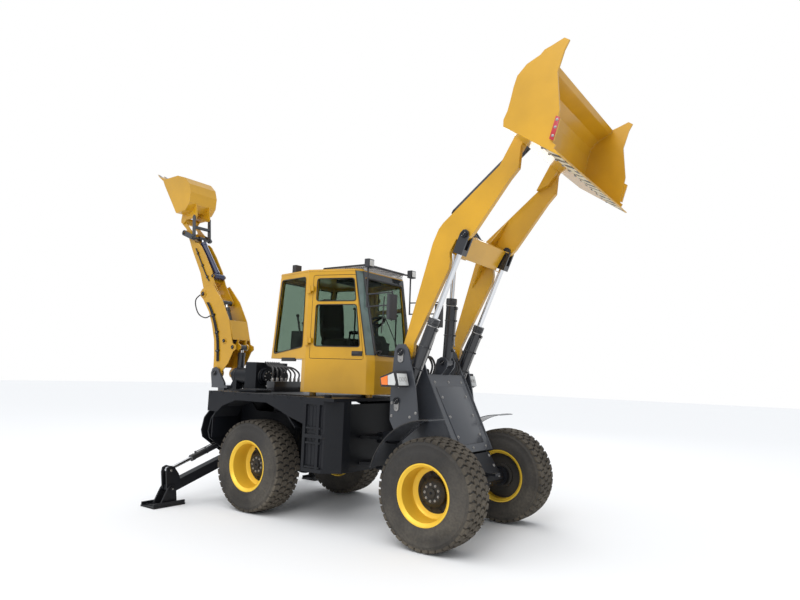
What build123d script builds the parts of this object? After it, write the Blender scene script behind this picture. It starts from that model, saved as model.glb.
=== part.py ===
from build123d import *
from math import atan2, cos, degrees, hypot, radians, sin
import os

os.makedirs("parts", exist_ok=True)

# Articulated backhoe loader, millimetres. X points forward, Y to the left and Z up.
# The origin lies on the ground, midway between the front and rear reach.
# Side outlines are (x, z) pairs, measured from the ground under the axle that their frame carries.

# Running gear
wheelbase = 2720.0
track = 1800.0
wheel_radius = 590.0
tyre_width = 425.0
rim_radius = 326.0
rim_width = 406.0
tread_depth = 26.0
lug_count = 24
hub_radius = 150.0
rear_axle_x = -244.4
front_axle_x = rear_axle_x + wheelbase
axle_z = wheel_radius
pivot_x = rear_axle_x + 1370.0
pivot_pin_radius = 35.0

# Clearances
face_gap = 6.0
pin_gap = 0.3
door_gap = 6.0

# Rear frame and deck
rail_y = 330.0
rail_thickness = 25.0
rail_bottom = 620.0
rail_top = 1180.0
deck_half_width = 1100.0
deck_top = 1525.0
deck_thickness = 40.0
deck_rear = -860.0
skirt_bottom = 1250.0
skirt_thickness = 12.0
arch_radius = 690.0
box_front = 1960.0
box_rear = 960.0
box_bottom = 640.0
box_depth = 330.0

# Cab
cab_floor = 1567.0
cab_sill = 2020.0
cab_glass_sill = 2171.0
cab_divider = 2745.0
cab_roof = 3195.0
cab_wall = 45.0
glass_thickness = 6.0
cab_pillar_x = 590.0
cab_pillar_y = 715.0
cab_front_x = 1500.0
cab_front_y = 500.0
cab_rear_x = -230.0
cab_rear_y = 560.0

# Loader
cheek_outer_y = 700.0
cheek_inner_y = 440.0
cheek_thickness = 25.0
arm_pivot = (front_axle_x - 612.0, 2101.0)
lift_base = (front_axle_x - 650.0, 1527.0)
tilt_base = (front_axle_x - 391.0, 2000.0)
arm_length = 2878.0
arm_angle = 59.47
arm_y = 560.0
arm_thickness = 60.0
lift_eye_along = 1563.0
lift_eye_across = -23.0
lift_barrel_length = 1060.0
lift_barrel_radius = 65.0
lift_rod_radius = 32.5
tilt_barrel_length = 810.0
tilt_barrel_radius = 62.0
tilt_rod_radius = 27.5
beam_along = 1430.0
beam_width = 275.0
beam_depth = 100.0
bucket_half_width = 1180.0
bucket_tilt = -35.1
bucket_shell = 14.0
bucket_side = 22.0
bucket_floor_length = 753.0

# Backhoe
swing_x = rear_axle_x - 1640.0
boom_pivot = (rear_axle_x - 1850.0, 1760.0)
boom_length = 1398.0
boom_angle = 110.2
boom_half_width = 190.0
boom_plate = 14.0
boom_eye = (rear_axle_x - 1510.0, 2180.0)
boom_base = (rear_axle_x - 1520.0, 1640.0)
boom_barrel_radius = 55.0
dipper_length = 1561.0
dipper_angle = 120.3
dipper_half_width = 120.0
dipper_tail = (rear_axle_x - 1985.0, 2925.0)
dipper_base = (rear_axle_x - 1720.0, 2280.0)
dipper_barrel_radius = 45.0
curl_base = (rear_axle_x - 2225.0, 3385.0)
curl_eye = (rear_axle_x - 2760.0, 4090.0)
curl_barrel_radius = 48.0
rocker_pivot = (rear_axle_x - 3020.0, 4200.0)
link_pin = (rear_axle_x - 2800.0, 4480.0)
hoe_bucket_half_width = 280.0
hoe_pin_radius = 22.0

# Stabilisers
leg_x = rear_axle_x - 1110.0
leg_pivot = (300.0, 600.0)
leg_foot = (1460.0, 215.0)
leg_eye = (1480.0, 455.0)
leg_base = (345.0, 850.0)
leg_width = 120.0
leg_depth = 130.0
leg_barrel_radius = 42.0
leg_barrel_length = 830.0
pad_length = 470.0
pad_width = 300.0
leg_front = leg_x + leg_width / 2 + face_gap
leg_rear = leg_x - leg_width / 2 - face_gap
wall_thickness = 20.0


def plate(outline, low_y, high_y, at=(0.0, 0.0), turn=0.0, mode=Mode.ADD):
    """Extrude a side outline of (x, z) points between two y values."""
    base = Plane(origin=(at[0], low_y, at[1]), z_dir=(0, -1, 0), x_dir=(cos(radians(turn)), 0, sin(radians(turn))))
    with BuildSketch(base) as section:
        with BuildLine():
            Polyline(*outline, close=True)
        make_face()
    extrude(section.sketch, amount=low_y - high_y, mode=mode)


def cross_plate(outline, low_x, high_x, mode=Mode.ADD):
    """Extrude a cross outline of (y, z) points between two x values."""
    with BuildSketch(Plane.YZ.offset(low_x)) as section:
        with BuildLine():
            Polyline(*outline, close=True)
        make_face()
    extrude(section.sketch, amount=high_x - low_x, mode=mode)


def block(low, high, mode=Mode.ADD):
    """Add a block between two opposite corners."""
    with BuildSketch(Plane.XY.offset(low[2])) as section:
        with Locations(((low[0] + high[0]) / 2, (low[1] + high[1]) / 2)):
            Rectangle(high[0] - low[0], high[1] - low[1])
    extrude(section.sketch, amount=high[2] - low[2], mode=mode)


def bar(start, end, radius, bore=0.0, mode=Mode.ADD):
    """Add a round bar or tube between two points."""
    axis = Vector(*end) - Vector(*start)
    with BuildSketch(Plane(origin=start, z_dir=axis)) as section:
        Circle(radius)
        if bore > 0:
            Circle(bore, mode=Mode.SUBTRACT)
    extrude(section.sketch, amount=axis.length, mode=mode)


def cross_pin(at, low_y, high_y, radius, mode=Mode.ADD):
    """Add a pin along Y through an (x, z) point."""
    bar((at[0], low_y, at[1]), (at[0], high_y, at[1]), radius, mode=mode)


def reach(start, end):
    """Return the length and the angle of the line between two (x, z) points."""
    return hypot(end[0] - start[0], end[1] - start[1]), degrees(atan2(end[1] - start[1], end[0] - start[0]))


def on_line(start, end, distance):
    """Return the point that lies a distance along the line from start to end."""
    length = hypot(end[0] - start[0], end[1] - start[1])
    share = distance / length
    return (start[0] + share * (end[0] - start[0]), start[1] + share * (end[1] - start[1]))


def turned(at, angle, along, across):
    """Return the point that lies along and to the right of a direction."""
    c = cos(radians(angle))
    s = sin(radians(angle))
    return (at[0] + along * c + across * s, at[1] + along * s - across * c)


def write(piece, name):
    """Label a finished piece and write its STEP file."""
    piece.part.label = name
    export_step(piece.part, f"parts/{name}.step")


# Wheels: columns are name, axle x and side
wheels = (
    ("front_right", front_axle_x, -1),
    ("front_left", front_axle_x, 1),
    ("rear_right", rear_axle_x, -1),
    ("rear_left", rear_axle_x, 1),
)
flange = rim_width / 2
barrel_radius = rim_radius - 28
spindle_radius = 60.0
spindle_length = 74.0
hub_inner = -120.0
disc_low = -84.0
disc_high = -66.0
carcass = wheel_radius - tread_depth
lug_size = (92.0, 178.0)
lug_top = (wheel_radius**2 - (lug_size[0] / 2) ** 2) ** 0.5 - 1.7

for name, wheel_x, side in wheels:
    centre = (wheel_x, side * track / 2, axle_z)
    section_plane = Plane(origin=centre, x_dir=(0, 0, 1), z_dir=(-side, 0, 0))
    spin = Axis(centre, (0, 1, 0))

    with BuildPart() as rim:
        with BuildSketch(section_plane) as section:
            with BuildLine():
                Polyline(
                    (0, 20), (hub_radius - 40, 20), (hub_radius, -10), (hub_radius, disc_high),
                    (barrel_radius - 14, disc_high), (barrel_radius - 14, flange - 28),
                    (rim_radius - 14, flange), (rim_radius, flange), (rim_radius, flange - 15),
                    (barrel_radius, flange - 25), (barrel_radius, 25 - flange), (rim_radius, 15 - flange),
                    (rim_radius, -flange), (rim_radius - 14, -flange), (barrel_radius - 14, 28 - flange),
                    (barrel_radius - 14, disc_low), (hub_radius, disc_low), (hub_radius, hub_inner),
                    (spindle_radius + pin_gap, hub_inner),
                    (spindle_radius + pin_gap, hub_inner + spindle_length + pin_gap),
                    (0, hub_inner + spindle_length + pin_gap),
                    close=True,
                )
            make_face()
        revolve(section.sketch, axis=spin)
    write(rim, f"rim_{name}")

    with BuildPart() as tyre:
        with BuildSketch(section_plane) as section:
            with BuildLine():
                right_wall = ThreePointArc(
                    (rim_radius + 1, flange - 3), (430, tyre_width / 2), (carcass - 14, tyre_width / 2 - 24)
                )
                crown = Polyline(
                    right_wall @ 1, (carcass, tyre_width / 2 - 60), (carcass, 60 - tyre_width / 2),
                    (carcass - 14, 24 - tyre_width / 2),
                )
                left_wall = ThreePointArc(crown @ 1, (430, -tyre_width / 2), (rim_radius + 1, 3 - flange))
                Polyline(
                    left_wall @ 1, (rim_radius + 0.5, 16 - flange), (barrel_radius + 0.3, 25.5 - flange),
                    (barrel_radius + 0.3, flange - 25.5), (rim_radius + 0.5, flange - 16), right_wall @ 0,
                )
            make_face()
        revolve(section.sketch, axis=spin)
        for row in (-1, 1):
            turns = [Location(centre, (0, (lug + 0.25 * row) * 360 / lug_count, 0)) for lug in range(lug_count)]
            with Locations(*turns):
                with Locations(Location((0, row * 108.0, lug_top - 30), (0, 0, row * side * 18))):
                    Box(lug_size[0], lug_size[1], 60)
    write(tyre, f"tyre_{name}")


# Rear frame: two rails with cross walls, the rear axle and the plates that hold the pivot pin
rear = (rear_axle_x, 0.0)
axle_tube = 95.0
spindle_end = track / 2 + hub_inner + spindle_length
lug_thickness = 40.0
upper_lug = 1000.0
lower_lug = 660.0
lug_half_width = 130.0
frame_front = pivot_x - rear_axle_x - 230
frame_rear = leg_front + wall_thickness - rear_axle_x

with BuildPart() as rear_chassis:
    for side in (-1, 1):
        low_y = side * rail_y - rail_thickness / 2
        plate(
            (
                (frame_rear, 760), (frame_rear, 1440), (-900, 1440), (-700, rail_top + 60), (500, rail_top + 60),
                (700, rail_top), (frame_front, rail_top), (frame_front, rail_bottom - 60), (700, rail_bottom - 60),
                (420, rail_bottom - 120), (200, rail_bottom + 40), (-300, rail_bottom + 40), (-600, 700),
            ),
            low_y, low_y + rail_thickness, at=rear,
        )
    for wall_x in (-880.0, -420.0, 420.0):
        block(
            (rear_axle_x + wall_x, -rail_y, rail_bottom + 190),
            (rear_axle_x + wall_x + 25, rail_y, rail_top),
        )
    block(
        (rear_axle_x + frame_front - 25, -rail_y - 210, rail_bottom - 60),
        (rear_axle_x + frame_front, rail_y + 210, rail_top + 250),
    )
    for side in (-1, 1):
        block(
            (rear_axle_x + frame_front - 260, side * 520 - 20, rail_bottom - 60),
            (rear_axle_x + frame_front, side * 520 + 20, rail_top + 250),
        )
    for lug_z in (lower_lug, upper_lug):
        with BuildSketch(Plane.XY.offset(lug_z - lug_thickness / 2)) as section:
            with BuildLine():
                Polyline(
                    (pivot_x, -90), (pivot_x - 120, -lug_half_width), (rear_axle_x + frame_front - 20, -200),
                    (rear_axle_x + frame_front - 20, 200), (pivot_x - 120, lug_half_width), (pivot_x, 90), close=True,
                )
            make_face()
            with Locations((pivot_x, 0)):
                Circle(90)
                Circle(pivot_pin_radius + pin_gap, mode=Mode.SUBTRACT)
        extrude(section.sketch, amount=lug_thickness)
    bar((rear_axle_x, -spindle_end + 160, axle_z), (rear_axle_x, spindle_end - 160, axle_z), axle_tube)
    for side in (-1, 1):
        inner_face = track / 2 + hub_inner - face_gap
        bar(
            (rear_axle_x, side * (spindle_end - 160), axle_z), (rear_axle_x, side * inner_face, axle_z),
            hub_radius - 30,
        )
        bar((rear_axle_x, side * inner_face, axle_z), (rear_axle_x, side * spindle_end, axle_z), spindle_radius)
        block(
            (rear_axle_x - 110, side * rail_y - 70, axle_z + 60),
            (rear_axle_x + 110, side * rail_y + 70, rail_bottom + 60),
        )
    with Locations((rear_axle_x, 0, axle_z)):
        Sphere(205)
    bar((rear_axle_x + 150, 0, axle_z), (rear_axle_x + 290, 0, axle_z + 10), 80)
write(rear_chassis, "rear_chassis")

with BuildPart() as engine_block:
    block((rear_axle_x - 390, -rail_y + 30, 830), (rear_axle_x + 410, rail_y - 30, 1400))
    mount_half = rail_y - rail_thickness / 2
    for mount_x in (-300, 300):
        block((rear_axle_x + mount_x - 50, -mount_half, 850), (rear_axle_x + mount_x + 50, mount_half, 900))
write(engine_block, "engine_block")

# Deck: a top plate with side skirts cut for the rear tyres, cross ribs and the tyre guards
deck_front = pivot_x - rear_axle_x + 75
deck_low = deck_top - deck_thickness
with BuildPart() as deck:
    block((rear_axle_x + deck_rear, -deck_half_width, deck_low), (rear_axle_x + deck_front, deck_half_width, deck_top))
    for side in (-1, 1):
        skirt_low = side * deck_half_width - (skirt_thickness if side > 0 else 0)
        plate(
            (
                (deck_rear, deck_low), (deck_rear, skirt_bottom), (-arch_radius + 30, skirt_bottom),
                (-arch_radius + 130, 1330), (-300, 1420), (300, 1420), (arch_radius - 130, 1330),
                (arch_radius, skirt_bottom + 30), (box_rear, 1200), (box_rear, deck_low),
            ),
            skirt_low, skirt_low + skirt_thickness, at=rear,
        )
        guard_low = 660.0 if side > 0 else -deck_half_width + skirt_thickness
        plate(
            (
                (-745, 900), (-760, 900), (-760, 1180), (-650, 1330), (-320, 1435), (320, 1435), (640, 1330),
                (820, 1150), (820, 1135), (632, 1316), (315, 1421), (-315, 1421), (-640, 1317), (-745, 1170),
            ),
            guard_low, guard_low + deck_half_width - skirt_thickness - 660, at=rear,
        )
        block(
            (rear_axle_x + deck_rear, side * 395 - 55, deck_low - 45),
            (rear_axle_x + box_rear, side * 395 + 55, deck_low),
        )
    block((rear_axle_x + deck_rear, -deck_half_width, skirt_bottom), (rear_axle_x + deck_rear + 12, -660, deck_low))
    block((rear_axle_x + deck_rear, 660, skirt_bottom), (rear_axle_x + deck_rear + 12, deck_half_width, deck_low))
write(deck, "deck")

# Side boxes: a tank on each side behind the pivot, with raised ribs and a corner that clears the fender
rib = 22.0
corner_cut = (165.0, 190.0)
with BuildPart() as side_boxes:
    for side in (-1, 1):
        near = side * (deck_half_width - box_depth)
        far = side * (deck_half_width - rib)
        block(
            (rear_axle_x + box_rear, min(near, far), box_bottom),
            (rear_axle_x + deck_front, max(near, far), deck_low),
        )
        for rib_x in (box_rear, (box_rear + deck_front) / 2 - rib, deck_front - 2 * rib):
            block(
                (rear_axle_x + rib_x, min(far, side * deck_half_width), box_bottom),
                (rear_axle_x + rib_x + 2 * rib, max(far, side * deck_half_width), deck_low),
            )
        for rib_z in (box_bottom, (box_bottom + deck_low) / 2 - rib, deck_low - 2 * rib):
            block(
                (rear_axle_x + box_rear, min(far, side * deck_half_width), rib_z),
                (rear_axle_x + deck_front, max(far, side * deck_half_width), rib_z + 2 * rib),
            )
    for side in (-1, 1):
        with BuildSketch(Plane.XY.offset(box_bottom)) as section:
            with BuildLine():
                Polyline(
                    (rear_axle_x + deck_front, side * (deck_half_width - corner_cut[1])),
                    (rear_axle_x + deck_front - corner_cut[0], side * deck_half_width),
                    (rear_axle_x + deck_front, side * deck_half_width), close=True,
                )
            make_face()
        extrude(section.sketch, amount=deck_low - box_bottom, mode=Mode.SUBTRACT)
write(side_boxes, "side_boxes")

# Backhoe carrier: two cross walls that hold the stabilisers, and the yoke of the swing post
yoke_top = 1525.0
yoke_low = 1120.0
yoke_plate = 45.0
swing_pin_radius = 45.0
leg_pin_radius = 30.0
leg_base_radius = 25.0
half_wall = (
    (0, 470), (420, 470), (560, 620), (900, 850), (930, 950), (890, 1130), (820, 1215), (700, 1250),
    (700, deck_low), (0, deck_low),
)
with BuildPart() as hoe_carrier:
    for wall_x in (leg_front, leg_rear - wall_thickness):
        cross_plate(half_wall, wall_x, wall_x + wall_thickness)
    for pin, pin_radius in ((leg_pivot, leg_pin_radius), (leg_base, leg_base_radius)):
        bar(
            (leg_rear - wall_thickness, pin[0], pin[1]), (leg_front + wall_thickness, pin[0], pin[1]), pin_radius,
        )
    block((leg_rear - wall_thickness, 0, 1110), (leg_front + wall_thickness, 200, 1150))
    block((leg_rear - wall_thickness, 0, deck_low), (rear_axle_x + deck_rear - 0.3, 540, yoke_top))
    mirror(about=Plane.XZ)
    for plate_z in (yoke_low, yoke_top - yoke_plate):
        with BuildSketch(Plane.XY.offset(plate_z)) as section:
            with BuildLine():
                Polyline(
                    (leg_rear - 5, -260), (swing_x, -95), (swing_x, 95), (leg_rear - 5, 260), close=True,
                )
            make_face()
            with Locations((swing_x, 0)):
                Circle(95)
                Circle(swing_pin_radius + pin_gap, mode=Mode.SUBTRACT)
        extrude(section.sketch, amount=yoke_plate)
write(hoe_carrier, "hoe_carrier")

# Slew unit: twin barrels in a clamp that turn the swing post through closed gearing
slew_y = 160.0
slew_z = 1738.0
slew_radius = 120.0
slew_front = -730.0
slew_rear = -1400.0
with BuildPart() as slew_unit:
    for side in (-1, 1):
        bar(
            (rear_axle_x + slew_front, side * slew_y, slew_z), (rear_axle_x + slew_rear, side * slew_y, slew_z),
            slew_radius,
        )
        bar(
            (rear_axle_x + slew_front, side * slew_y, slew_z),
            (rear_axle_x + slew_front + 40, side * slew_y, slew_z), slew_radius - 25,
        )
        block(
            (rear_axle_x + slew_rear + 30, side * 200 - 60, yoke_top),
            (rear_axle_x + slew_rear + 110, side * 200 + 60, slew_z),
        )
    block((rear_axle_x + slew_front - 300, -320, yoke_top), (rear_axle_x + slew_front - 60, 320, slew_z + 210))
write(slew_unit, "slew_unit")

# Cab plan: columns are x and half width at the sill, then x and half width at the roof
cab_low = 2000.0
cab_plan = (
    (cab_rear_x, cab_rear_y, cab_rear_x + 140, cab_rear_y + 23),
    (cab_pillar_x, cab_pillar_y + 10, cab_pillar_x - 20, cab_pillar_y),
    (cab_front_x - 70, cab_front_y - 10, cab_front_x - 280, cab_front_y + 35),
    (cab_front_x, cab_front_y - 100, cab_front_x - 220, cab_front_y - 42),
)


def cab_outline(z):
    """Return the (x, y) points of the cab's right half at a height."""
    share = (z - cab_low) / (cab_roof - cab_low)
    return [
        (rear_axle_x + low_x + share * (top_x - low_x), low_y + share * (top_y - low_y))
        for low_x, low_y, top_x, top_y in cab_plan
    ]


def cab_prism(low_z, high_z, inset, mode=Mode.ADD):
    """Loft the cab's plan between two heights, moved in by an inset."""
    levels = []
    for z in (low_z, high_z):
        half = cab_outline(z)
        with BuildSketch(Plane.XY.offset(z)) as section:
            with BuildLine():
                Polyline(*half, *[(x, -y) for x, y in reversed(half)], close=True)
            make_face()
            if inset > 0:
                offset(amount=-inset, kind=Kind.INTERSECTION, mode=Mode.REPLACE)
        levels.append(section.sketch.face())
    loft(levels, ruled=True, mode=mode)


def side_cut(outline, side, shrink, corner, mode):
    """Extrude a window or door outline of (x, z) points through one side wall."""
    near = Plane(origin=(rear_axle_x, side * 900, 0), z_dir=(0, side, 0), x_dir=(1, 0, 0))
    flip = -side
    with BuildSketch(near) as section:
        with BuildLine():
            Polyline(*[(x, flip * z) for x, z in outline], close=True)
        make_face()
        fillet(section.vertices(), corner)
        if shrink > 0:
            offset(amount=-shrink, kind=Kind.INTERSECTION, mode=Mode.REPLACE)
    extrude(section.sketch, amount=-600, mode=mode)


def end_cut(outline, face_x, depth, shrink, corner, mode):
    """Extrude a window outline of (y, z) points through the front or rear wall."""
    with BuildSketch(Plane.YZ.offset(rear_axle_x + face_x)) as section:
        with BuildLine():
            Polyline(*outline, close=True)
        make_face()
        fillet(section.vertices(), corner)
        if shrink > 0:
            offset(amount=-shrink, kind=Kind.INTERSECTION, mode=Mode.REPLACE)
    extrude(section.sketch, amount=depth, mode=mode)


quarter_window = ((-165, 2070), (505, 2160), (505, 3100), (-55, 3100))
door_outline = ((640, 2006), (1392, 2006), (1235, 3120), (640, 3120))
lower_window = ((700, cab_glass_sill), (1330, cab_glass_sill), (1260, cab_divider - 25), (700, cab_divider - 25))
upper_window = ((700, cab_divider + 25), (1252, cab_divider + 25), (1212, 3070), (700, 3070))
windscreen = ((-362, 2070), (362, 2070), (418, 3080), (-418, 3080))
rear_window = ((-500, 2090), (500, 2090), (520, 3080), (-520, 3080))


def fixed_windows(shrink, mode):
    """Cut or fill the windows that the cab's own walls hold."""
    for side in (-1, 1):
        side_cut(quarter_window, side, shrink, 25, mode)
    end_cut(windscreen, cab_front_x - 330, 400, shrink, 40, mode)
    end_cut(rear_window, cab_rear_x - 60, 320, shrink, 25, mode)


hinge_x = rear_axle_x + 628.0
hinge_y = 746.0
hinge_radius = 8.0
hinge_height = 70.0
hinge_heights = (2210.0, 2900.0)
cab_mounts = ((600, 560), (1380, 340))
with BuildPart() as cab_shell:
    cab_prism(cab_low, cab_roof, 0)
    lower_half = [
        (rear_axle_x + 500, cab_pillar_y - 20), (rear_axle_x + cab_pillar_x, cab_pillar_y + 10),
        (rear_axle_x + cab_front_x - 70, cab_front_y - 10), (rear_axle_x + cab_front_x, cab_front_y - 100),
    ]
    with BuildSketch(Plane.XY.offset(cab_floor)) as section:
        with BuildLine():
            Polyline(*lower_half, *[(x, -y) for x, y in reversed(lower_half)], close=True)
        make_face()
    extrude(section.sketch, amount=cab_low - cab_floor)
    cab_prism(cab_low + cab_wall, cab_roof - 60, cab_wall, mode=Mode.SUBTRACT)
    footwell = [(800, 600), (1400, 430), (1455, 365)]
    with BuildSketch(Plane.XY.offset(cab_floor + cab_wall)) as section:
        with BuildLine():
            Polyline(
                *[(rear_axle_x + x, y) for x, y in footwell],
                *[(rear_axle_x + x, -y) for x, y in reversed(footwell)], close=True,
            )
        make_face()
    extrude(section.sketch, amount=cab_low - cab_floor, mode=Mode.SUBTRACT)
    block(
        (rear_axle_x + 550, -600, cab_floor - 1), (rear_axle_x + 755, 600, cab_low), mode=Mode.SUBTRACT,
    )
    fixed_windows(0, Mode.SUBTRACT)
    for side in (-1, 1):
        side_cut(door_outline, side, 0, 30, Mode.SUBTRACT)
    for side in (-1, 1):
        for hinge_z in hinge_heights:
            bar((hinge_x, side * hinge_y, hinge_z - 30), (hinge_x, side * hinge_y, hinge_z), hinge_radius * 2)
            bar((hinge_x, side * hinge_y, hinge_z), (hinge_x, side * hinge_y, hinge_z + hinge_height), hinge_radius)
            block(
                (hinge_x - 50, min(side * hinge_y, side * (hinge_y - 45)), hinge_z - 30),
                (hinge_x, max(side * hinge_y, side * (hinge_y - 45)), hinge_z),
            )
        for mount_x, mount_y in cab_mounts:
            bar(
                (rear_axle_x + mount_x, side * mount_y, deck_top), (rear_axle_x + mount_x, side * mount_y, cab_floor),
                45,
            )
write(cab_shell, "cab_shell")

with BuildPart() as window_cores:
    fixed_windows(pin_gap, Mode.ADD)

with BuildPart() as cab_glass:
    cab_prism(cab_low, cab_roof, 20)
    cab_prism(cab_low, cab_roof, 20 + glass_thickness, mode=Mode.SUBTRACT)
    add(window_cores.part, mode=Mode.INTERSECT)
write(cab_glass, "cab_glass")

for name, side in (("right", -1), ("left", 1)):
    with BuildPart() as door:
        cab_prism(cab_low, cab_roof, 0)
        cab_prism(cab_low, cab_roof, cab_wall - 5, mode=Mode.SUBTRACT)
        side_cut(door_outline, side, door_gap, 30, Mode.INTERSECT)
        side_cut(lower_window, side, 0, 25, Mode.SUBTRACT)
        side_cut(upper_window, side, 0, 25, Mode.SUBTRACT)
        for hinge_z in hinge_heights:
            knuckle_low = hinge_z + pin_gap
            knuckle_high = hinge_z + hinge_height - face_gap
            bar((hinge_x, side * hinge_y, knuckle_low), (hinge_x, side * hinge_y, knuckle_high), hinge_radius * 2)
            block(
                (hinge_x, min(side * hinge_y, side * (hinge_y - 28)), knuckle_low),
                (hinge_x + 60, max(side * hinge_y, side * (hinge_y - 28)), knuckle_high),
            )
            bar(
                (hinge_x, side * hinge_y, knuckle_low), (hinge_x, side * hinge_y, knuckle_high),
                hinge_radius + pin_gap, mode=Mode.SUBTRACT,
            )
    write(door, f"door_{name}")

    with BuildPart() as pane_cores:
        side_cut(lower_window, side, pin_gap, 25, Mode.ADD)
        side_cut(upper_window, side, pin_gap, 25, Mode.ADD)

    with BuildPart() as door_glass:
        cab_prism(cab_low, cab_roof, 16)
        cab_prism(cab_low, cab_roof, 16 + glass_thickness, mode=Mode.SUBTRACT)
        add(pane_cores.part, mode=Mode.INTERSECT)
    write(door_glass, f"door_glass_{name}")

# Cab inside: a seat on its platform, the steering column and the lever stands
seat_x = 690.0
with BuildPart() as seat:
    seat_foot = cab_low + cab_wall + pin_gap
    plate(
        ((-230, seat_foot), (230, seat_foot), (200, 2180), (-200, 2180)), -160, 160, at=(rear_axle_x + seat_x, 0),
    )
    plate(
        ((-250, 2180), (270, 2180), (290, 2240), (240, 2300), (-170, 2290), (-250, 2330), (-300, 2890),
         (-350, 2900), (-390, 2850), (-330, 2230)),
        -240, 240, at=(rear_axle_x + seat_x, 0),
    )
write(seat, "seat")

with BuildPart() as controls:
    plate(((0, 0), (120, 0), (150, 640), (60, 640)), -90, 90, at=(rear_axle_x + 1210, cab_floor + cab_wall + 0.3))
    wheel_centre = (rear_axle_x + 1130, 0, 2500)
    with BuildSketch(Plane(origin=wheel_centre, z_dir=(-0.5, 0, 0.85))) as section:
        Circle(190)
        Circle(160, mode=Mode.SUBTRACT)
        Rectangle(340, 30)
        Rectangle(30, 340)
    extrude(section.sketch, amount=22)
    bar((rear_axle_x + 1300, 0, 2180), (rear_axle_x + 1130, 0, 2505), 24)
    for side in (-1, 1):
        block(
            (rear_axle_x - 20, side * 330 - 70, cab_low + cab_wall + 0.3),
            (rear_axle_x + 190, side * 330 + 70, 2400),
        )
        bar((rear_axle_x + 80, side * 330, 2390), (rear_axle_x + 20, side * 330, 2620), 14)
write(controls, "controls")

# Cab fittings: the roof guard, the work lamps and the mirrors
guard_front = 1330.0
guard_rear = 560.0
guard_low = cab_roof + 45
mirror_x = rear_axle_x + 1850
mirror_y = 560.0
mirror_top = 2850.0
with BuildPart() as cab_fittings:
    for bar_x in (guard_rear, (guard_rear + guard_front) / 2, guard_front):
        block((rear_axle_x + bar_x - 12, -420, guard_low), (rear_axle_x + bar_x + 12, 420, guard_low + 24))
        for side in (-1, 1):
            foot_x = rear_axle_x + min(bar_x, 1200)
            block((foot_x - 30, side * 400 - 30, cab_roof), (foot_x + 30, side * 400 + 30, cab_roof + 12))
            bar((foot_x, side * 400, cab_roof + 10), (rear_axle_x + bar_x, side * 400, guard_low + 12), 10)
    for bar_y in range(-420, 421, 120):
        block(
            (rear_axle_x + guard_rear, bar_y - 8, guard_low + 6), (rear_axle_x + guard_front, bar_y + 8, guard_low + 18),
        )
    for side in (-1, 1):
        lamp_x = rear_axle_x + guard_front + 70
        bar((lamp_x - 70, side * 400, guard_low + 12), (lamp_x, side * 493, guard_low), 12)
        block((lamp_x - 20, side * 493 - 55, guard_low - 35), (lamp_x + 50, side * 493 + 55, guard_low + 70))
        rear_lamp_x = rear_axle_x + 45
        block((rear_lamp_x - 35, side * 420 - 55, cab_roof + 35), (rear_lamp_x + 35, side * 420 + 55, cab_roof + 145))
        bar((rear_lamp_x, side * 420, cab_roof), (rear_lamp_x, side * 420, cab_roof + 40), 14)
        bar((lamp_x, side * 493, guard_low - 20), (lamp_x, side * 493, mirror_top - 170), 11)
        for arm_z in (mirror_top, mirror_top - 160):
            bar((lamp_x, side * 493, arm_z), (mirror_x, side * mirror_y, arm_z), 9)
        bar((mirror_x, side * mirror_y, mirror_top + 12), (mirror_x, side * mirror_y, mirror_top - 360), 11)
        block(
            (mirror_x - 20, side * mirror_y - 80, mirror_top - 345), (mirror_x + 20, side * mirror_y + 80, mirror_top - 30),
        )
write(cab_fittings, "cab_fittings")

# Front frame: the axle carrier and the loader tower, with the fenders on the outer cheeks
front = (front_axle_x, 0.0)
front_lug = 35.0
tow_hole_radius = 20.0
tow_low = 705.0
tow_thickness = 30.0
tower_rear = -745.0
with BuildPart() as front_chassis:
    for side in (-1, 1):
        low_y = side * 300 - 12.5
        plate(
            ((-1120, 560), (-1120, 1110), (-740, 1180), (40, 930), (220, 632), (100, 620), (-300, 560)),
            low_y, low_y + 25, at=front,
        )
        block(
            (front_axle_x - 110, side * 300 - 70, axle_z + 60), (front_axle_x + 110, side * 300 + 70, axle_z + 130),
        )
    block((front_axle_x - 1120, -300, 560), (front_axle_x - 1095, 300, 1110))
    plate(((40, 930), (59, 926), (238, 632), (214, 632)), -312.5, 312.5, at=front)
    block((front_axle_x - 500, -300, 700), (front_axle_x - 475, 300, 1080))
    for lug_z in (lower_lug, upper_lug):
        for step in (-1, 1):
            low_z = lug_z + step * (lug_thickness / 2 + face_gap) - (front_lug if step < 0 else 0)
            with BuildSketch(Plane.XY.offset(low_z)) as section:
                with BuildLine():
                    Polyline(
                        (pivot_x, -80), (front_axle_x - 1110, -200), (front_axle_x - 1110, 200), (pivot_x, 80),
                        close=True,
                    )
                make_face()
                with Locations((pivot_x, 0)):
                    Circle(80)
            extrude(section.sketch, amount=front_lug)
        bar(
            (pivot_x, 0, lug_z - lug_thickness / 2 - face_gap - front_lug - 12),
            (pivot_x, 0, lug_z + lug_thickness / 2 + face_gap + front_lug + 12), pivot_pin_radius,
        )
    bar((front_axle_x, -spindle_end + 160, axle_z), (front_axle_x, spindle_end - 160, axle_z), axle_tube)
    for side in (-1, 1):
        inner_face = track / 2 + hub_inner - face_gap
        bar(
            (front_axle_x, side * (spindle_end - 160), axle_z), (front_axle_x, side * inner_face, axle_z),
            hub_radius - 30,
        )
        bar((front_axle_x, side * inner_face, axle_z), (front_axle_x, side * spindle_end, axle_z), spindle_radius)
    with Locations((front_axle_x, 0, axle_z)):
        Sphere(205)
    bar((front_axle_x - 290, 0, axle_z + 10), (front_axle_x - 150, 0, axle_z), 80)
    tow_x = front_axle_x + 280
    block((front_axle_x + 165, -60, tow_low), (tow_x + 50, 60, tow_low + tow_thickness))
    bar((tow_x, 0, tow_low), (tow_x, 0, tow_low + tow_thickness), tow_hole_radius, mode=Mode.SUBTRACT)
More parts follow.
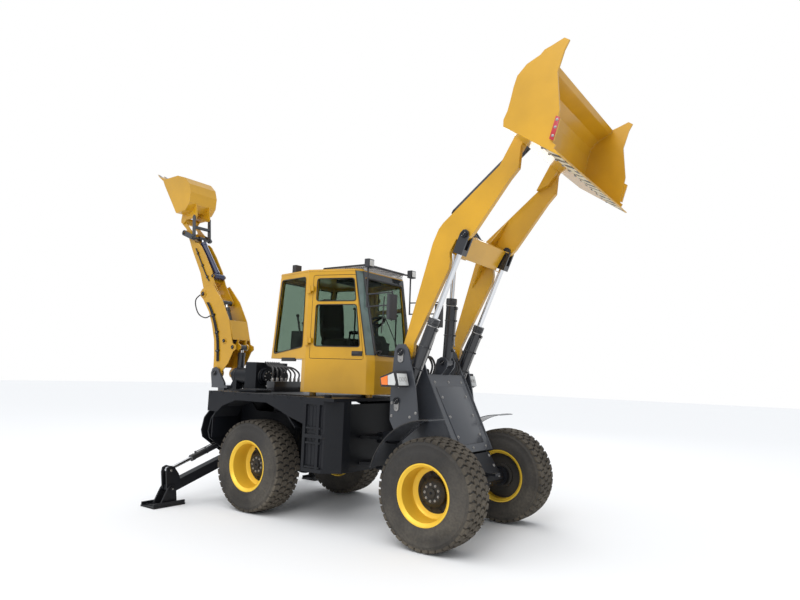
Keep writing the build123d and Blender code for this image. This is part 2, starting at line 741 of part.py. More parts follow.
write(front_chassis, "front_chassis")

arm_pin_radius = 40.0
lift_pin_radius = 35.0
tilt_lug_y = 75.0
arm_pivot_local = (arm_pivot[0] - front_axle_x, arm_pivot[1])
with BuildPart() as loader_tower:
    for side in (-1, 1):
        inner_low = side * cheek_inner_y - (cheek_thickness if side > 0 else 0)
        outer_low = side * cheek_outer_y - (cheek_thickness if side > 0 else 0)
        plate(
            (
                (tower_rear, 1185), (tower_rear, 1800), (-700, 2150), (-650, 2200), (-560, 2200), (-510, 2140),
                (-400, 1850), (30, 950), (-735, 1185),
            ),
            inner_low, inner_low + cheek_thickness, at=front,
        )
        plate(
            (
                (tower_rear, 1300), (tower_rear, 1640), (-705, 2130), (-660, 2195), (-560, 2195), (-510, 2130),
                (-400, 1700), (-335, 1262), (-600, 1045),
            ),
            outer_low, outer_low + cheek_thickness, at=front,
        )
        gap_low = min(side * cheek_inner_y, side * cheek_outer_y)
        block(
            (front_axle_x + tower_rear, gap_low, 1300),
            (front_axle_x - 360, gap_low + cheek_outer_y - cheek_inner_y, 1320),
        )
        block(
            (front_axle_x + tower_rear, gap_low, 1300),
            (front_axle_x + tower_rear + 20, gap_low + cheek_outer_y - cheek_inner_y, 1420),
        )
        cross_pin(arm_pivot, side * 410, side * (cheek_outer_y + 14), arm_pin_radius)
        cross_pin(lift_base, side * 410, side * (cheek_outer_y + 14), lift_pin_radius)
        block(
            (front_axle_x - 738, side * 364 - 51, 1150), (front_axle_x - 700, side * 364 + 51, 1210),
        )
        block(
            (front_axle_x + tower_rear + 15, min(side * 312.5, side * 430), 900),
            (front_axle_x - 30, max(side * 312.5, side * 430), 925),
        )
        plate(
            ((tower_rear + 15, 900), (tower_rear + 15, 1190), (-60, 965), (-30, 900)),
            side * 427 - 12.5, side * 427 + 12.5, at=front,
        )
    plate(((-407, 1850), (28, 950), (10, 941), (-427, 1845)), -cheek_inner_y + 25, cheek_inner_y - 25, at=front)
    plate(
        ((tower_rear, 1690), (tower_rear, 1712), (-420, 1855), (-407, 1835)),
        -cheek_inner_y + 25, cheek_inner_y - 25, at=front,
    )
    for side in (-1, 1):
        lug_low = tilt_lug_y if side > 0 else -tilt_lug_y - 25
        plate(
            ((-560, 1780), (-475, 2040), (-420, 2070), (-360, 2065), (-325, 2010), (-335, 1950), (-415, 1840)),
            lug_low, lug_low + 25, at=front,
        )
    cross_pin(tilt_base, -tilt_lug_y - 35, tilt_lug_y + 35, 30)
    for side in (-1, 1):
        with BuildSketch(Plane(origin=(front_axle_x, side * 690, axle_z), z_dir=(0, side, 0), x_dir=(1, 0, 0))) as section:
            with BuildLine():
                flip = -side
                outer_arc = ThreePointArc(
                    (-772 * cos(radians(15)), flip * 772 * sin(radians(15))),
                    (-772 * cos(radians(52)), flip * 772 * sin(radians(52))),
                    (-772 * cos(radians(92)), flip * 772 * sin(radians(92))),
                )
                inner_arc = ThreePointArc(
                    (-764 * cos(radians(92)), flip * 764 * sin(radians(92))),
                    (-764 * cos(radians(52)), flip * 764 * sin(radians(52))),
                    (-764 * cos(radians(15)), flip * 764 * sin(radians(15))),
                )
                Line(outer_arc @ 1, inner_arc @ 0)
                Line(inner_arc @ 1, outer_arc @ 0)
            make_face()
        extrude(section.sketch, amount=360)
write(loader_tower, "loader_tower")

with BuildPart() as headlamps:
    for side in (-1, 1):
        low_y = 714.3 if side > 0 else -714.3 - 220
        plate(((-715, 1690), (-735, 1800), (-520, 1880), (-480, 1730), (-500, 1690)), low_y, low_y + 220, at=front)
        cross_pin((front_axle_x - 620, 1700), side * cheek_outer_y, side * (cheek_outer_y + 15), 20)
write(headlamps, "headlamps")


def inset(points, thickness):
    """Return an open line of points moved to its left by a thickness, with mitred corners."""
    moved = []
    for index in range(len(points)):
        before = points[max(index - 1, 0)]
        here = points[index]
        after = points[min(index + 1, len(points) - 1)]
        start_angle = reach(before, here)[1] if index > 0 else reach(here, after)[1]
        end_angle = reach(here, after)[1] if index < len(points) - 1 else start_angle
        half = radians((end_angle - start_angle + 180) % 360 - 180) / 2
        middle = radians(start_angle) + half
        step = thickness / cos(half)
        moved.append((here[0] - step * sin(middle), here[1] + step * cos(middle)))
    return moved


def barrel(base, end, length, radius, rod_radius, hub_half, pin_radius, y=0.0):
    """Add a cylinder barrel on the line from base to end, with its base eye and its gland."""
    hub_radius = pin_radius + 22
    tail = on_line(base, end, hub_radius + 10)
    bottom = on_line(base, end, hub_radius + 25)
    neck = on_line(base, end, length - 60)
    mouth = on_line(base, end, length)
    bar((base[0], y, base[1]), (tail[0], y, tail[1]), min(radius, hub_half) - 14)
    bar((tail[0], y, tail[1]), (mouth[0], y, mouth[1]), radius)
    bar((neck[0], y, neck[1]), (mouth[0], y, mouth[1]), radius + 5)
    cross_pin((base[0], base[1]), y - hub_half, y + hub_half, hub_radius)
    cross_pin((base[0], base[1]), y - hub_half, y + hub_half, pin_radius + pin_gap, Mode.SUBTRACT)
    bar((bottom[0], y, bottom[1]), (mouth[0], y, mouth[1]), rod_radius + pin_gap, mode=Mode.SUBTRACT)


def rod(base, end, tail_at, radius, hub_radius, hub_half, y=0.0):
    """Add a piston rod on the line from base to end, with its eye at the end."""
    tail = on_line(base, end, tail_at)
    bar((tail[0], y, tail[1]), (end[0], y, end[1]), radius)
    cross_pin((end[0], end[1]), y - hub_half, y + hub_half, hub_radius)


# Loader arms: two thick plates, a box beam between them and the lugs of the tilt lever
arm_tip = turned(arm_pivot, arm_angle, arm_length, 0)
lift_eye = turned(arm_pivot, arm_angle, lift_eye_along, lift_eye_across)
lever_pivot = (rear_axle_x + 2720, 3500.0)
lever_top = (rear_axle_x + 2440, 3900.0)
link_end = (rear_axle_x + 3640, 4870.0)
bucket_pin_radius = 40.0
lever_pin_radius = 32.0
lever_inner = 34.0
lever_plate = 20.0
link_inner = lever_inner + lever_plate + face_gap
link_plate = 18.0
ear_inner = link_inner + link_plate + face_gap
ear_plate = 20.0
beam_face = 20.0
beam_end = 478.0
arm_outline = (
    (-60, -60), (66, -83), (1292, -376), (1470, -392), (1560, -375), (2428, -48), (2781, -47), (2810, -65),
    (2878, -90), (2942, -64), (2968, 0), (2942, 64), (2878, 90), (2800, 84), (2708, 84), (2490, 184),
    (2340, 150), (1640, 62), (1563, 38), (1505, -5), (1470, -108), (1300, -108), (1210, -46), (1120, -12),
    (148, 37), (60, 80), (0, 98), (-70, 70), (-98, 0),
)
boss_outline = (
    (2428, -46), (2781, -45), (2810, -63), (2878, -88), (2940, -62), (2966, 0), (2940, 62), (2878, 88),
    (2700, 80), (2540, 60),
)
with BuildPart() as loader_arms:
    for side in (-1, 1):
        plate(
            [(along, -across) for along, across in arm_outline],
            side * arm_y - arm_thickness / 2, side * arm_y + arm_thickness / 2, arm_pivot, arm_angle,
        )
        boss_y = side * (arm_y - arm_thickness / 2 - 25)
        plate(
            [(along, -across) for along, across in boss_outline], boss_y - 30, boss_y + 30, arm_pivot, arm_angle,
        )
        cross_pin(arm_pivot, side * arm_y - 40, side * arm_y + 40, arm_pin_radius + 45)
        cross_pin(arm_pivot, side * arm_y - 40, side * arm_y + 40, arm_pin_radius + pin_gap, Mode.SUBTRACT)
        cross_pin(arm_tip, side * 420, side * (arm_y + 40), bucket_pin_radius + pin_gap, Mode.SUBTRACT)
    half_beam = beam_width / 2
    beam_low = beam_along - half_beam
    beam_high = beam_along + half_beam
    beam_foot = beam_face + 265
    for low_y, high_y, low_face, high_face in (
        (-beam_end, beam_end, beam_face, beam_face + beam_depth),
        (-beam_end, -400, beam_face, beam_foot),
        (400, beam_end, beam_face, beam_foot),
        (-arm_y, -beam_end, beam_face + 165, beam_foot),
        (beam_end, arm_y, beam_face + 165, beam_foot),
    ):
        plate(
            ((beam_low, low_face), (beam_high, low_face), (beam_high, high_face), (beam_low, high_face)),
            low_y, high_y, arm_pivot, arm_angle,
        )
    for side in (-1, 1):
        lug_low = link_inner if side > 0 else -link_inner - 25
        plate(
            ((-150, -80), (48, -80), (56, -10), (40, 40), (0, 56), (-40, 40)),
            lug_low, lug_low + 25, lever_pivot, arm_angle,
        )
    cross_pin(lever_pivot, -link_inner - 35, link_inner + 35, lever_pin_radius)
write(loader_arms, "loader_arms")

# Lift cylinders: forked rod eyes that straddle the arm plates
with BuildPart() as lift_barrels:
    for side in (-1, 1):
        barrel(
            lift_base, lift_eye, lift_barrel_length, lift_barrel_radius, lift_rod_radius, 50, lift_pin_radius,
            side * arm_y,
        )
write(lift_barrels, "lift_barrels")

fork_depth = 205.0
fork_plate = 25.0
with BuildPart() as lift_rods:
    for side in (-1, 1):
        tail = on_line(lift_base, lift_eye, lift_barrel_length - 90)
        head = on_line(lift_base, lift_eye, reach(lift_base, lift_eye)[0] - fork_depth)
        bar((tail[0], side * arm_y, tail[1]), (head[0], side * arm_y, head[1]), lift_rod_radius)
        fork_inner = arm_thickness / 2 + face_gap
        fork_outer = fork_inner + fork_plate
        fork_angle = reach(lift_base, lift_eye)[1]
        plate(
            ((-30, -60), (40, -60), (40, 60), (-30, 60)),
            side * arm_y - fork_outer, side * arm_y + fork_outer, head, fork_angle,
        )
        for step in (-1, 1):
            low_y = side * arm_y + (fork_inner if step > 0 else -fork_outer)
            plate(
                ((-30, -60), (fork_depth, -60), (fork_depth + 50, -35), (fork_depth + 62, 0), (fork_depth + 50, 35),
                 (fork_depth, 60), (-30, 60)),
                low_y, low_y + fork_plate, head, fork_angle,
            )
            pin_low = side * arm_y + (fork_outer if step > 0 else -fork_outer - 12)
            cross_pin(lift_eye, pin_low, pin_low + 12, lift_pin_radius)
write(lift_rods, "lift_rods")

# Tilt cylinder, lever and link on the centre line
tilt_hub_half = tilt_lug_y - face_gap
with BuildPart() as tilt_barrel:
    barrel(tilt_base, lever_top, tilt_barrel_length, tilt_barrel_radius, tilt_rod_radius, tilt_hub_half, 30)
write(tilt_barrel, "tilt_barrel")

with BuildPart() as tilt_rod:
    rod(tilt_base, lever_top, tilt_barrel_length - 60, tilt_rod_radius, 52, lever_inner - face_gap)
write(tilt_rod, "tilt_rod")

lever_length, lever_angle = reach(lever_pivot, lever_top)
link_length, link_angle = reach(lever_top, link_end)
with BuildPart() as tilt_lever:
    for side in (-1, 1):
        low_y = lever_inner if side > 0 else -lever_inner - lever_plate
        plate(
            ((-50, -25), (-50, 25), (-20, 52), (40, 62), (250, 85), (lever_length, 52), (lever_length + 40, 35),
             (lever_length + 55, 0), (lever_length + 40, -35), (lever_length, -52), (250, -60), (40, -56),
             (-20, -52)),
            low_y, low_y + lever_plate, lever_pivot, lever_angle,
        )
        cross_pin(lever_top, side * (link_inner - face_gap), side * (link_inner + link_plate + 10), lever_pin_radius)
    cross_pin(lever_pivot, -link_inner + face_gap, link_inner - face_gap, lever_pin_radius + 25)
    cross_pin(lever_pivot, -link_inner, link_inner, lever_pin_radius + pin_gap, Mode.SUBTRACT)
write(tilt_lever, "tilt_lever")

link_half = link_inner + link_plate
with BuildPart() as tilt_link:
    for side in (-1, 1):
        low_y = link_inner if side > 0 else -link_half
        plate(
            ((-55, 0), (-40, 38), (0, 52), (link_length, 40), (link_length + 45, 0), (link_length, -40), (0, -52),
             (-40, -38)),
            low_y, low_y + link_plate, lever_top, link_angle,
        )
    cross_pin(lever_top, -link_half, link_half, lever_pin_radius + pin_gap, Mode.SUBTRACT)
    cross_pin(link_end, -link_half, link_half, 42)
    plate(
        ((link_length - 420, -30), (link_length - 380, -30), (link_length - 380, 30), (link_length - 420, 30)),
        -link_half, link_half, lever_top, link_angle,
    )
write(tilt_link, "tilt_link")

# Loader bucket: a bent shell between two side plates, with ears for the arms and the link
bucket_profile = (
    (881, -123), (150, -123), (110, -62), (97, 31), (60, 140), (12, 265), (-20, 380), (8, 520), (93, 653), (103, 710),
)
bucket_inner = inset(bucket_profile[::-1], bucket_shell)
side_outline = bucket_profile[1:] + (
    (151, 770), (233, 882), (296, 881), (306, 780), (368, 568), (613, 257), (740, -44), (781, -50), (781, -123),
)
with BuildPart() as loader_bucket:
    plate(
        list(bucket_profile) + bucket_inner, -bucket_half_width, bucket_half_width, arm_tip, bucket_tilt,
    )
    plate(
        ((881, -123), (640, -123), (640, -88), (800, -88)), -bucket_half_width, bucket_half_width, arm_tip, bucket_tilt,
    )
    for side in (-1, 1):
        low_y = bucket_half_width - bucket_side if side > 0 else -bucket_half_width
        plate(side_outline, low_y, low_y + bucket_side, arm_tip, bucket_tilt)
        wear_low = bucket_half_width if side > 0 else -bucket_half_width - 25
        plate(((700, -30), (750, -30), (680, 190), (630, 190)), wear_low, wear_low + 25, arm_tip, bucket_tilt)
        for step, ear_y in ((-1, arm_y - arm_thickness / 2 - 55 - face_gap), (1, arm_y + arm_thickness / 2 + face_gap)):
            ear_low = ear_y - 25 if step < 0 else ear_y
            low_y = ear_low if side > 0 else -ear_low - 25
            plate(
                ((152, -120), (20, -82), (-55, -60), (-80, 0), (-60, 66), (-25, 250), (20, 262), (64, 140), (101, 31),
                 (114, -62)),
                low_y, low_y + 25, arm_tip, bucket_tilt,
            )
        pin_ends = (arm_y - arm_thickness / 2 - 55 - face_gap - 35, arm_y + arm_thickness / 2 + face_gap + 35)
        cross_pin(arm_tip, side * pin_ends[0], side * pin_ends[1], bucket_pin_radius)
        ear_low = ear_inner if side > 0 else -ear_inner - ear_plate
        plate(
            ((52, 170), (-60, 200), (-150, 235), (-165, 285), (-130, 330), (-14, 420), (-16, 380), (16, 265)),
            ear_low, ear_low + ear_plate, arm_tip, bucket_tilt,
        )
        head_low = ear_inner + ear_plate if side > 0 else -ear_inner - ear_plate - 12
        cross_pin(link_end, head_low, head_low + 12, lever_pin_radius)
write(loader_bucket, "loader_bucket")

# Swing post: the head that turns in the yoke and carries the boom
boom_pin_radius = 35.0
boom_base_radius = 28.0
post_inner = boom_half_width + 10
post_outer = post_inner + 35
eye_inner = 68.0
base_top = yoke_top + face_gap + 40
pivot_stub = boom_barrel_radius + 50
with BuildPart() as swing_post:
    bar((swing_x, 0, yoke_low + yoke_plate + face_gap), (swing_x, 0, yoke_top - yoke_plate - face_gap), 85)
    bar((swing_x, 0, yoke_low - 20), (swing_x, 0, yoke_top + face_gap + 10), swing_pin_radius)
    block((boom_pivot[0] - 60, -post_outer, yoke_top + face_gap), (swing_x + 110, post_outer, base_top))
    block((boom_pivot[0] - 40, -120, 1200), (swing_x - 95 - face_gap, 120, base_top))
    block((boom_pivot[0] + 20, -60, 1200), (swing_x, 60, yoke_top - yoke_plate - face_gap))
    for side in (-1, 1):
        low_y = post_inner if side > 0 else -post_outer
        plate(
            ((-60, -195), (240, -195), (240, -150), (100, 20), (70, 70), (0, 98), (-70, 70), (-98, 0)),
            low_y, low_y + post_outer - post_inner, boom_pivot,
        )
        cross_pin(boom_pivot, side * pivot_stub, side * (post_outer + 12), boom_pin_radius)
        lug_low = eye_inner if side > 0 else -eye_inner - 22
        plate(
            ((-110, -75), (75, -75), (55, 20), (20, 50), (-20, 50), (-60, 10)), lug_low, lug_low + 22, boom_base,
        )
    cross_pin(boom_base, -eye_inner - 32, eye_inner + 32, boom_base_radius)
write(swing_post, "swing_post")

# Boom: two side plates joined by covers, open above where the dipper cylinder works
dipper_pin = turned(boom_pivot, boom_angle, boom_length, 0)
dipper_pin_radius = 32.0
dipper_base_radius = 25.0
boom_inner = boom_half_width - boom_plate
boom_outline = (
    (-1951, 1743), (-1959, 2050), (-1986, 2295), (-2064, 2543), (-2166, 2762), (-2349, 2988), (-2420, 3040),
    (-2430, 3110), (-2380, 3165), (-2300, 3180), (-2140, 3231), (-1855, 2950), (-1647, 2616), (-1527, 2240),
    (-1450, 2210), (-1440, 2150), (-1500, 2110), (-1600, 1926), (-1740, 1790), (-1748, 1710), (-1800, 1665),
    (-1880, 1655), (-1935, 1690),
)
with BuildPart() as boom:
    for side in (-1, 1):
        low_y = boom_inner if side > 0 else -boom_half_width
        plate(boom_outline, low_y, low_y + boom_plate, rear)
        cross_pin(boom_pivot, side * 110, side * boom_half_width, boom_pin_radius + 35)
        cross_pin(dipper_pin, side * boom_inner, side * (boom_half_width + 12), dipper_pin_radius + 30)
        cross_pin((dipper_base[0], dipper_base[1]), side * boom_inner, side * (boom_half_width + 8), 45)
        lug_low = eye_inner if side > 0 else -eye_inner - 20
        plate(
            ((-20, 125), (-75, 40), (-45, -35), (15, -55), (60, -20), (62, 30), (0, 70), (10, 140)),
            lug_low, lug_low + 20, boom_eye,
        )
        head_low = boom_half_width if side > 0 else -boom_half_width - 10
        cross_pin(boom_eye, head_low, head_low + 10, 30)
    plate(((-1527, 2300), (-1541, 2305), (-1661, 2616), (-1647, 2616)), -boom_inner, boom_inner, rear)
    plate(
        ((-1959, 2050), (-1986, 2295), (-2064, 2543), (-2112, 2650), (-2100, 2656), (-2051, 2549), (-1972, 2298),
         (-1945, 2050)),
        -boom_inner, boom_inner, rear,
    )
    plate(((-1951, 1850), (-1959, 2050), (-1945, 2050), (-1937, 1850)), -boom_inner, boom_inner, rear)
    cross_pin(dipper_pin, -boom_half_width - 22, boom_half_width + 22, dipper_pin_radius)
    cross_pin(dipper_base, -boom_half_width - 16, boom_half_width + 16, dipper_base_radius)
    cross_pin(boom_pivot, -boom_half_width - 5, boom_half_width + 5, boom_pin_radius + pin_gap, Mode.SUBTRACT)
write(boom, "boom")

boom_barrel_length = 462.0
boom_rod_radius = 30.0
with BuildPart() as boom_barrel:
    barrel(
        boom_base, boom_eye, boom_barrel_length, boom_barrel_radius, boom_rod_radius, eye_inner - face_gap,
        boom_base_radius,
    )
write(boom_barrel, "boom_barrel")

with BuildPart() as boom_rod:
    rod(boom_base, boom_eye, 80, boom_rod_radius, 46, eye_inner - face_gap)
write(boom_rod, "boom_rod")

# Dipper: a closed box with a tail lug for its cylinder and lugs for the rocker and the bucket
hoe_pin_outer = dipper_half_width + face_gap
hoe_ear = 20.0
hoe_ear_outer = hoe_pin_outer + hoe_ear
hoe_link_plate = 18.0
link_plate_inner = hoe_ear_outer + face_gap
rocker_plate = 16.0
rocker_inner = link_plate_inner + hoe_link_plate + face_gap
rocker_outer = rocker_inner + rocker_plate
dipper_plate = 14.0
inner_half = dipper_half_width - dipper_plate
hoe_bucket_pivot = (rear_axle_x - 3130.0, 4440.0)
hoe_bucket_radius = 26.0
rocker_pin_radius = 24.0
dipper_outline = (
    (-2050, 2880), (-1990, 2872), (-1940, 2895), (-1932, 2945), (-1965, 2985), (-2168, 3258), (-2272, 3487),
    (-2462, 3762), (-2600, 3935), (-2680, 3995), (-2770, 4012), (-2825, 4080), (-2840, 4190), (-2950, 4280),
    (-3065, 4400), (-3075, 4470), (-3110, 4505), (-3165, 4498), (-3193, 4450), (-3185, 4395), (-3053, 4285),
    (-2834, 3883), (-2562, 3456), (-2451, 3188), (-2420, 3080), (-2370, 3005), (-2300, 2995),
)
box_outer = (
    (-2240, 3290), (-2281, 3343), (-2816, 4048), (-2900, 4130), (-3020, 4225), (-2834, 3883), (-2562, 3456),
    (-2451, 3188),
)
box_inner = (
    (-2254, 3300), (-2295, 3353), (-2826, 4050), (-2905, 4115), (-2960, 4085), (-2822, 3873), (-2549, 3448),
    (-2441, 3202),
)
with BuildPart() as dipper:
    for side in (-1, 1):
        low_y = inner_half if side > 0 else -dipper_half_width
        plate(dipper_outline, low_y, low_y + dipper_plate, rear)
        cross_pin(dipper_pin, side * inner_half, side * (boom_inner - face_gap), dipper_pin_radius + 28)
        cross_pin(rocker_pivot, side * inner_half, side * (link_plate_inner + hoe_link_plate), 50)
    plate(box_outer, -inner_half, inner_half, rear)
    plate(box_inner, -inner_half, inner_half, rear, mode=Mode.SUBTRACT)
    cross_pin(hoe_bucket_pivot, -dipper_half_width, dipper_half_width, hoe_bucket_radius + 36)
    cross_pin(
        hoe_bucket_pivot, -dipper_half_width, dipper_half_width, hoe_bucket_radius + pin_gap, Mode.SUBTRACT,
    )
    cross_pin(dipper_pin, -boom_half_width, boom_half_width, dipper_pin_radius + pin_gap, Mode.SUBTRACT)
    cross_pin(curl_base, -dipper_half_width - 8, dipper_half_width + 8, rocker_pin_radius)
    cross_pin(rocker_pivot, -rocker_outer - 8, rocker_outer + 8, rocker_pin_radius)
    for side in (-1, 1):
        head_low = dipper_half_width if side > 0 else -dipper_half_width - 10
        cross_pin(dipper_tail, head_low, head_low + 10, 26)
write(dipper, "dipper")

# The dipper cylinder lies closed in the boom, the curl cylinder on the front of the dipper
dipper_rod_radius = 25.0
with BuildPart() as dipper_barrel:
    barrel(dipper_base, dipper_tail, 600, dipper_barrel_radius, dipper_rod_radius, 60, dipper_base_radius)
write(dipper_barrel, "dipper_barrel")

with BuildPart() as dipper_rod:
    rod(dipper_base, dipper_tail, 75, dipper_rod_radius, 42, inner_half - face_gap)
write(dipper_rod, "dipper_rod")

curl_rod_radius = 25.0
with BuildPart() as curl_barrel:
    barrel(
        curl_base, curl_eye, 780, curl_barrel_radius, curl_rod_radius, inner_half - face_gap, rocker_pin_radius,
    )
write(curl_barrel, "curl_barrel")

with BuildPart() as curl_rod:
    rod(curl_base, curl_eye, 80, curl_rod_radius, 42, 60)
    cross_pin(curl_eye, -link_plate_inner + face_gap, link_plate_inner - face_gap, hoe_pin_radius)
write(curl_rod, "curl_rod")

# Bucket linkage of the backhoe: rockers outside the links, the links outside the bucket ears
rocker_length, rocker_angle = reach(rocker_pivot, curl_eye)
with BuildPart() as hoe_rocker:
    for side in (-1, 1):
        low_y = rocker_inner if side > 0 else -rocker_outer
        plate(
            ((-45, -25), (-20, -48), (20, -48), (rocker_length, -42), (rocker_length + 36, -20),
             (rocker_length + 36, 20), (rocker_length, 42), (20, 48), (-20, 48), (-45, 25)),
            low_y, low_y + rocker_plate, rocker_pivot, rocker_angle,
        )
        cross_pin(curl_eye, side * link_plate_inner, side * (rocker_outer + 8), hoe_pin_radius)
    cross_pin(rocker_pivot, -rocker_outer, rocker_outer, rocker_pin_radius + pin_gap, Mode.SUBTRACT)
write(hoe_rocker, "hoe_rocker")

hoe_link_length, hoe_link_angle = reach(curl_eye, link_pin)
with BuildPart() as hoe_link:
    for side in (-1, 1):
        low_y = link_plate_inner if side > 0 else -link_plate_inner - hoe_link_plate
        plate(
            ((-42, -15), (-20, -38), (20, -38), (hoe_link_length, -32), (hoe_link_length + 30, 0),
             (hoe_link_length, 32), (20, 38), (-20, 38), (-42, 15)),
            low_y, low_y + hoe_link_plate, curl_eye, hoe_link_angle,
        )
    middle = on_line(curl_eye, link_pin, hoe_link_length / 2)
    cross_pin(middle, -link_plate_inner - hoe_link_plate, link_plate_inner + hoe_link_plate, 28)
    cross_pin(
        curl_eye, -link_plate_inner - hoe_link_plate, link_plate_inner + hoe_link_plate, hoe_pin_radius + pin_gap,
        Mode.SUBTRACT,
    )
write(hoe_link, "hoe_link")

# Backhoe bucket: a bent shell between side plates, two ears and five teeth
hoe_shell = 12.0
hoe_side = 14.0
hoe_profile = (
    (-653, 898), (-516, 799), (-70, 810), (150, 740), (290, 610), (345, 450), (330, 260), (230, 140), (0, 112),
    (-37, 116),
)
hoe_inner = inset(hoe_profile, -hoe_shell)
with BuildPart() as hoe_bucket:
    plate(list(hoe_profile) + hoe_inner[::-1], -hoe_bucket_half_width, hoe_bucket_half_width, hoe_bucket_pivot)
    for side in (-1, 1):
        low_y = hoe_bucket_half_width - hoe_side if side > 0 else -hoe_bucket_half_width
        plate(hoe_profile[1:] + ((-190, 330), (-438, 673)), low_y, low_y + hoe_side, hoe_bucket_pivot)
        ear_low = hoe_pin_outer if side > 0 else -hoe_ear_outer
        plate(
            ((-60, 25), (-55, -30), (0, -58), (50, -30), (90, 10), (270, 15), (300, 2), (355, 2), (378, 40),
             (340, 275), (225, 146), (0, 118), (-40, 118)),
            ear_low, ear_low + hoe_ear, hoe_bucket_pivot,
        )
        head_low = hoe_ear_outer if side > 0 else -hoe_ear_outer - 5
        cross_pin(link_pin, head_low, head_low + 5, hoe_pin_radius)
    cross_pin(hoe_bucket_pivot, -hoe_ear_outer, hoe_ear_outer, hoe_bucket_radius)
    for tooth in range(-2, 3):
        tooth_y = tooth * 124.0
        plate(
            ((-500, 780), (-500, 815), (-620, 880), (-700, 935), (-690, 915), (-600, 845)),
            tooth_y - 22, tooth_y + 22, hoe_bucket_pivot,
        )
write(hoe_bucket, "hoe_bucket")

# Stabilisers: columns are name and side
stabilisers = (("right", -1), ("left", 1))
leg_length, leg_angle = reach(leg_pivot, leg_foot)
leg_plane_x = leg_x
leg_eye_half = 34.0
leg_rod_radius = 25.0
foot_pin_radius = 26.0
pad_centre = 1515.0


def leg_plate(outline, half_width, centre_x=0.0, mode=Mode.ADD):
    """Extrude a (y, z) outline about the leg plane."""
    cross_plate(outline, leg_x + centre_x - half_width, leg_x + centre_x + half_width, mode)


def leg_pin(at, half_width, radius, mode=Mode.ADD):
    """Add a pin along X at a (y, z) point in the leg plane."""
    bar((leg_x - half_width, at[0], at[1]), (leg_x + half_width, at[0], at[1]), radius, mode=mode)


def leg_line(at, angle, outline):
    """Return an (along, up) outline placed in the leg plane at a point and an angle."""
    return [turned(at, angle, along, -up) for along, up in outline]


for name, side in stabilisers:
    half_depth = leg_depth / 2
    with BuildPart() as leg:
        leg_plate(
            leg_line(
                leg_pivot, leg_angle,
                ((-70, -20), (-50, -half_depth), (leg_length - 60, -half_depth), (leg_length + 20, -45),
                 (leg_length + 42, 0), (leg_length + 20, 45), (leg_length - 60, half_depth), (-50, half_depth),
                 (-70, 20)),
            ),
            leg_width / 2,
        )
        for step in (-1, 1):
            leg_plate(
                ((1290, 235), (1350, 400), (1430, 500), (1480, 515), (1535, 490), (1545, 430), (1515, 200)), 11,
                step * (leg_eye_half + face_gap + 11),
            )
            bar(
                (leg_x + step * (leg_eye_half + face_gap + 22), leg_eye[0], leg_eye[1]),
                (leg_x + step * (leg_eye_half + face_gap + 32), leg_eye[0], leg_eye[1]), 30,
            )
        leg_pin(leg_pivot, leg_width / 2, leg_pin_radius + pin_gap, Mode.SUBTRACT)
        leg_pin(leg_foot, leg_width / 2 + face_gap + 36, foot_pin_radius)
        if side < 0:
            mirror(about=Plane.XZ, mode=Mode.REPLACE)
    write(leg, f"leg_{name}")

    line_angle = reach(leg_base, leg_eye)[1]
    with BuildPart() as leg_barrel:
        bottom = turned(leg_base, line_angle, leg_base_radius + 34, 0)
        tail = turned(leg_base, line_angle, 20, 0)
        neck = turned(leg_base, line_angle, leg_barrel_length - 55, 0)
        mouth = turned(leg_base, line_angle, leg_barrel_length, 0)
        bar((leg_x, tail[0], tail[1]), (leg_x, mouth[0], mouth[1]), leg_barrel_radius)
        bar((leg_x, neck[0], neck[1]), (leg_x, mouth[0], mouth[1]), leg_barrel_radius + 5)
        leg_pin(leg_base, leg_width / 2, leg_base_radius + 20)
        leg_pin(leg_base, leg_width / 2, leg_base_radius + pin_gap, Mode.SUBTRACT)
        bar(
            (leg_x, bottom[0], bottom[1]), (leg_x, mouth[0], mouth[1]), leg_rod_radius + pin_gap,
            mode=Mode.SUBTRACT,
        )
        if side < 0:
            mirror(about=Plane.XZ, mode=Mode.REPLACE)
    write(leg_barrel, f"leg_barrel_{name}")

    with BuildPart() as leg_rod:
        tail = turned(leg_base, line_angle, leg_barrel_length - 350, 0)
        bar((leg_x, tail[0], tail[1]), (leg_x, leg_eye[0], leg_eye[1]), leg_rod_radius)
        leg_pin(leg_eye, leg_eye_half, 42)
        if side < 0:
            mirror(about=Plane.XZ, mode=Mode.REPLACE)
    write(leg_rod, f"leg_rod_{name}")

    with BuildPart() as pad:
        block(
            (leg_x - pad_width / 2, pad_centre - pad_length / 2, 0),
            (leg_x + pad_width / 2, pad_centre + pad_length / 2, 22),
        )
        for step in (-1, 1):
            leg_plate(
                ((1370, 22), (1395, 215), (1430, 262), (1490, 262), (1525, 215), (1620, 22)), 12,
                step * (leg_width / 2 + face_gap + 12),
            )
            block(
                (leg_x + step * 130 - 10, pad_centre - pad_length / 2, 22),
                (leg_x + step * 130 + 10, pad_centre + pad_length / 2, 60),
            )
        leg_pin(leg_foot, leg_width / 2 + face_gap + 24, foot_pin_radius + pin_gap, Mode.SUBTRACT)
        if side < 0:
            mirror(about=Plane.XZ, mode=Mode.REPLACE)
    write(pad, f"pad_{name}")
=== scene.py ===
"""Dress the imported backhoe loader: finishes, small fittings, lamps, camera and floor."""

import logging
import math
from dataclasses import dataclass
from enum import Enum
from typing import Callable, Iterable, Sequence

import bmesh
import bpy
from mathutils import Matrix, Vector


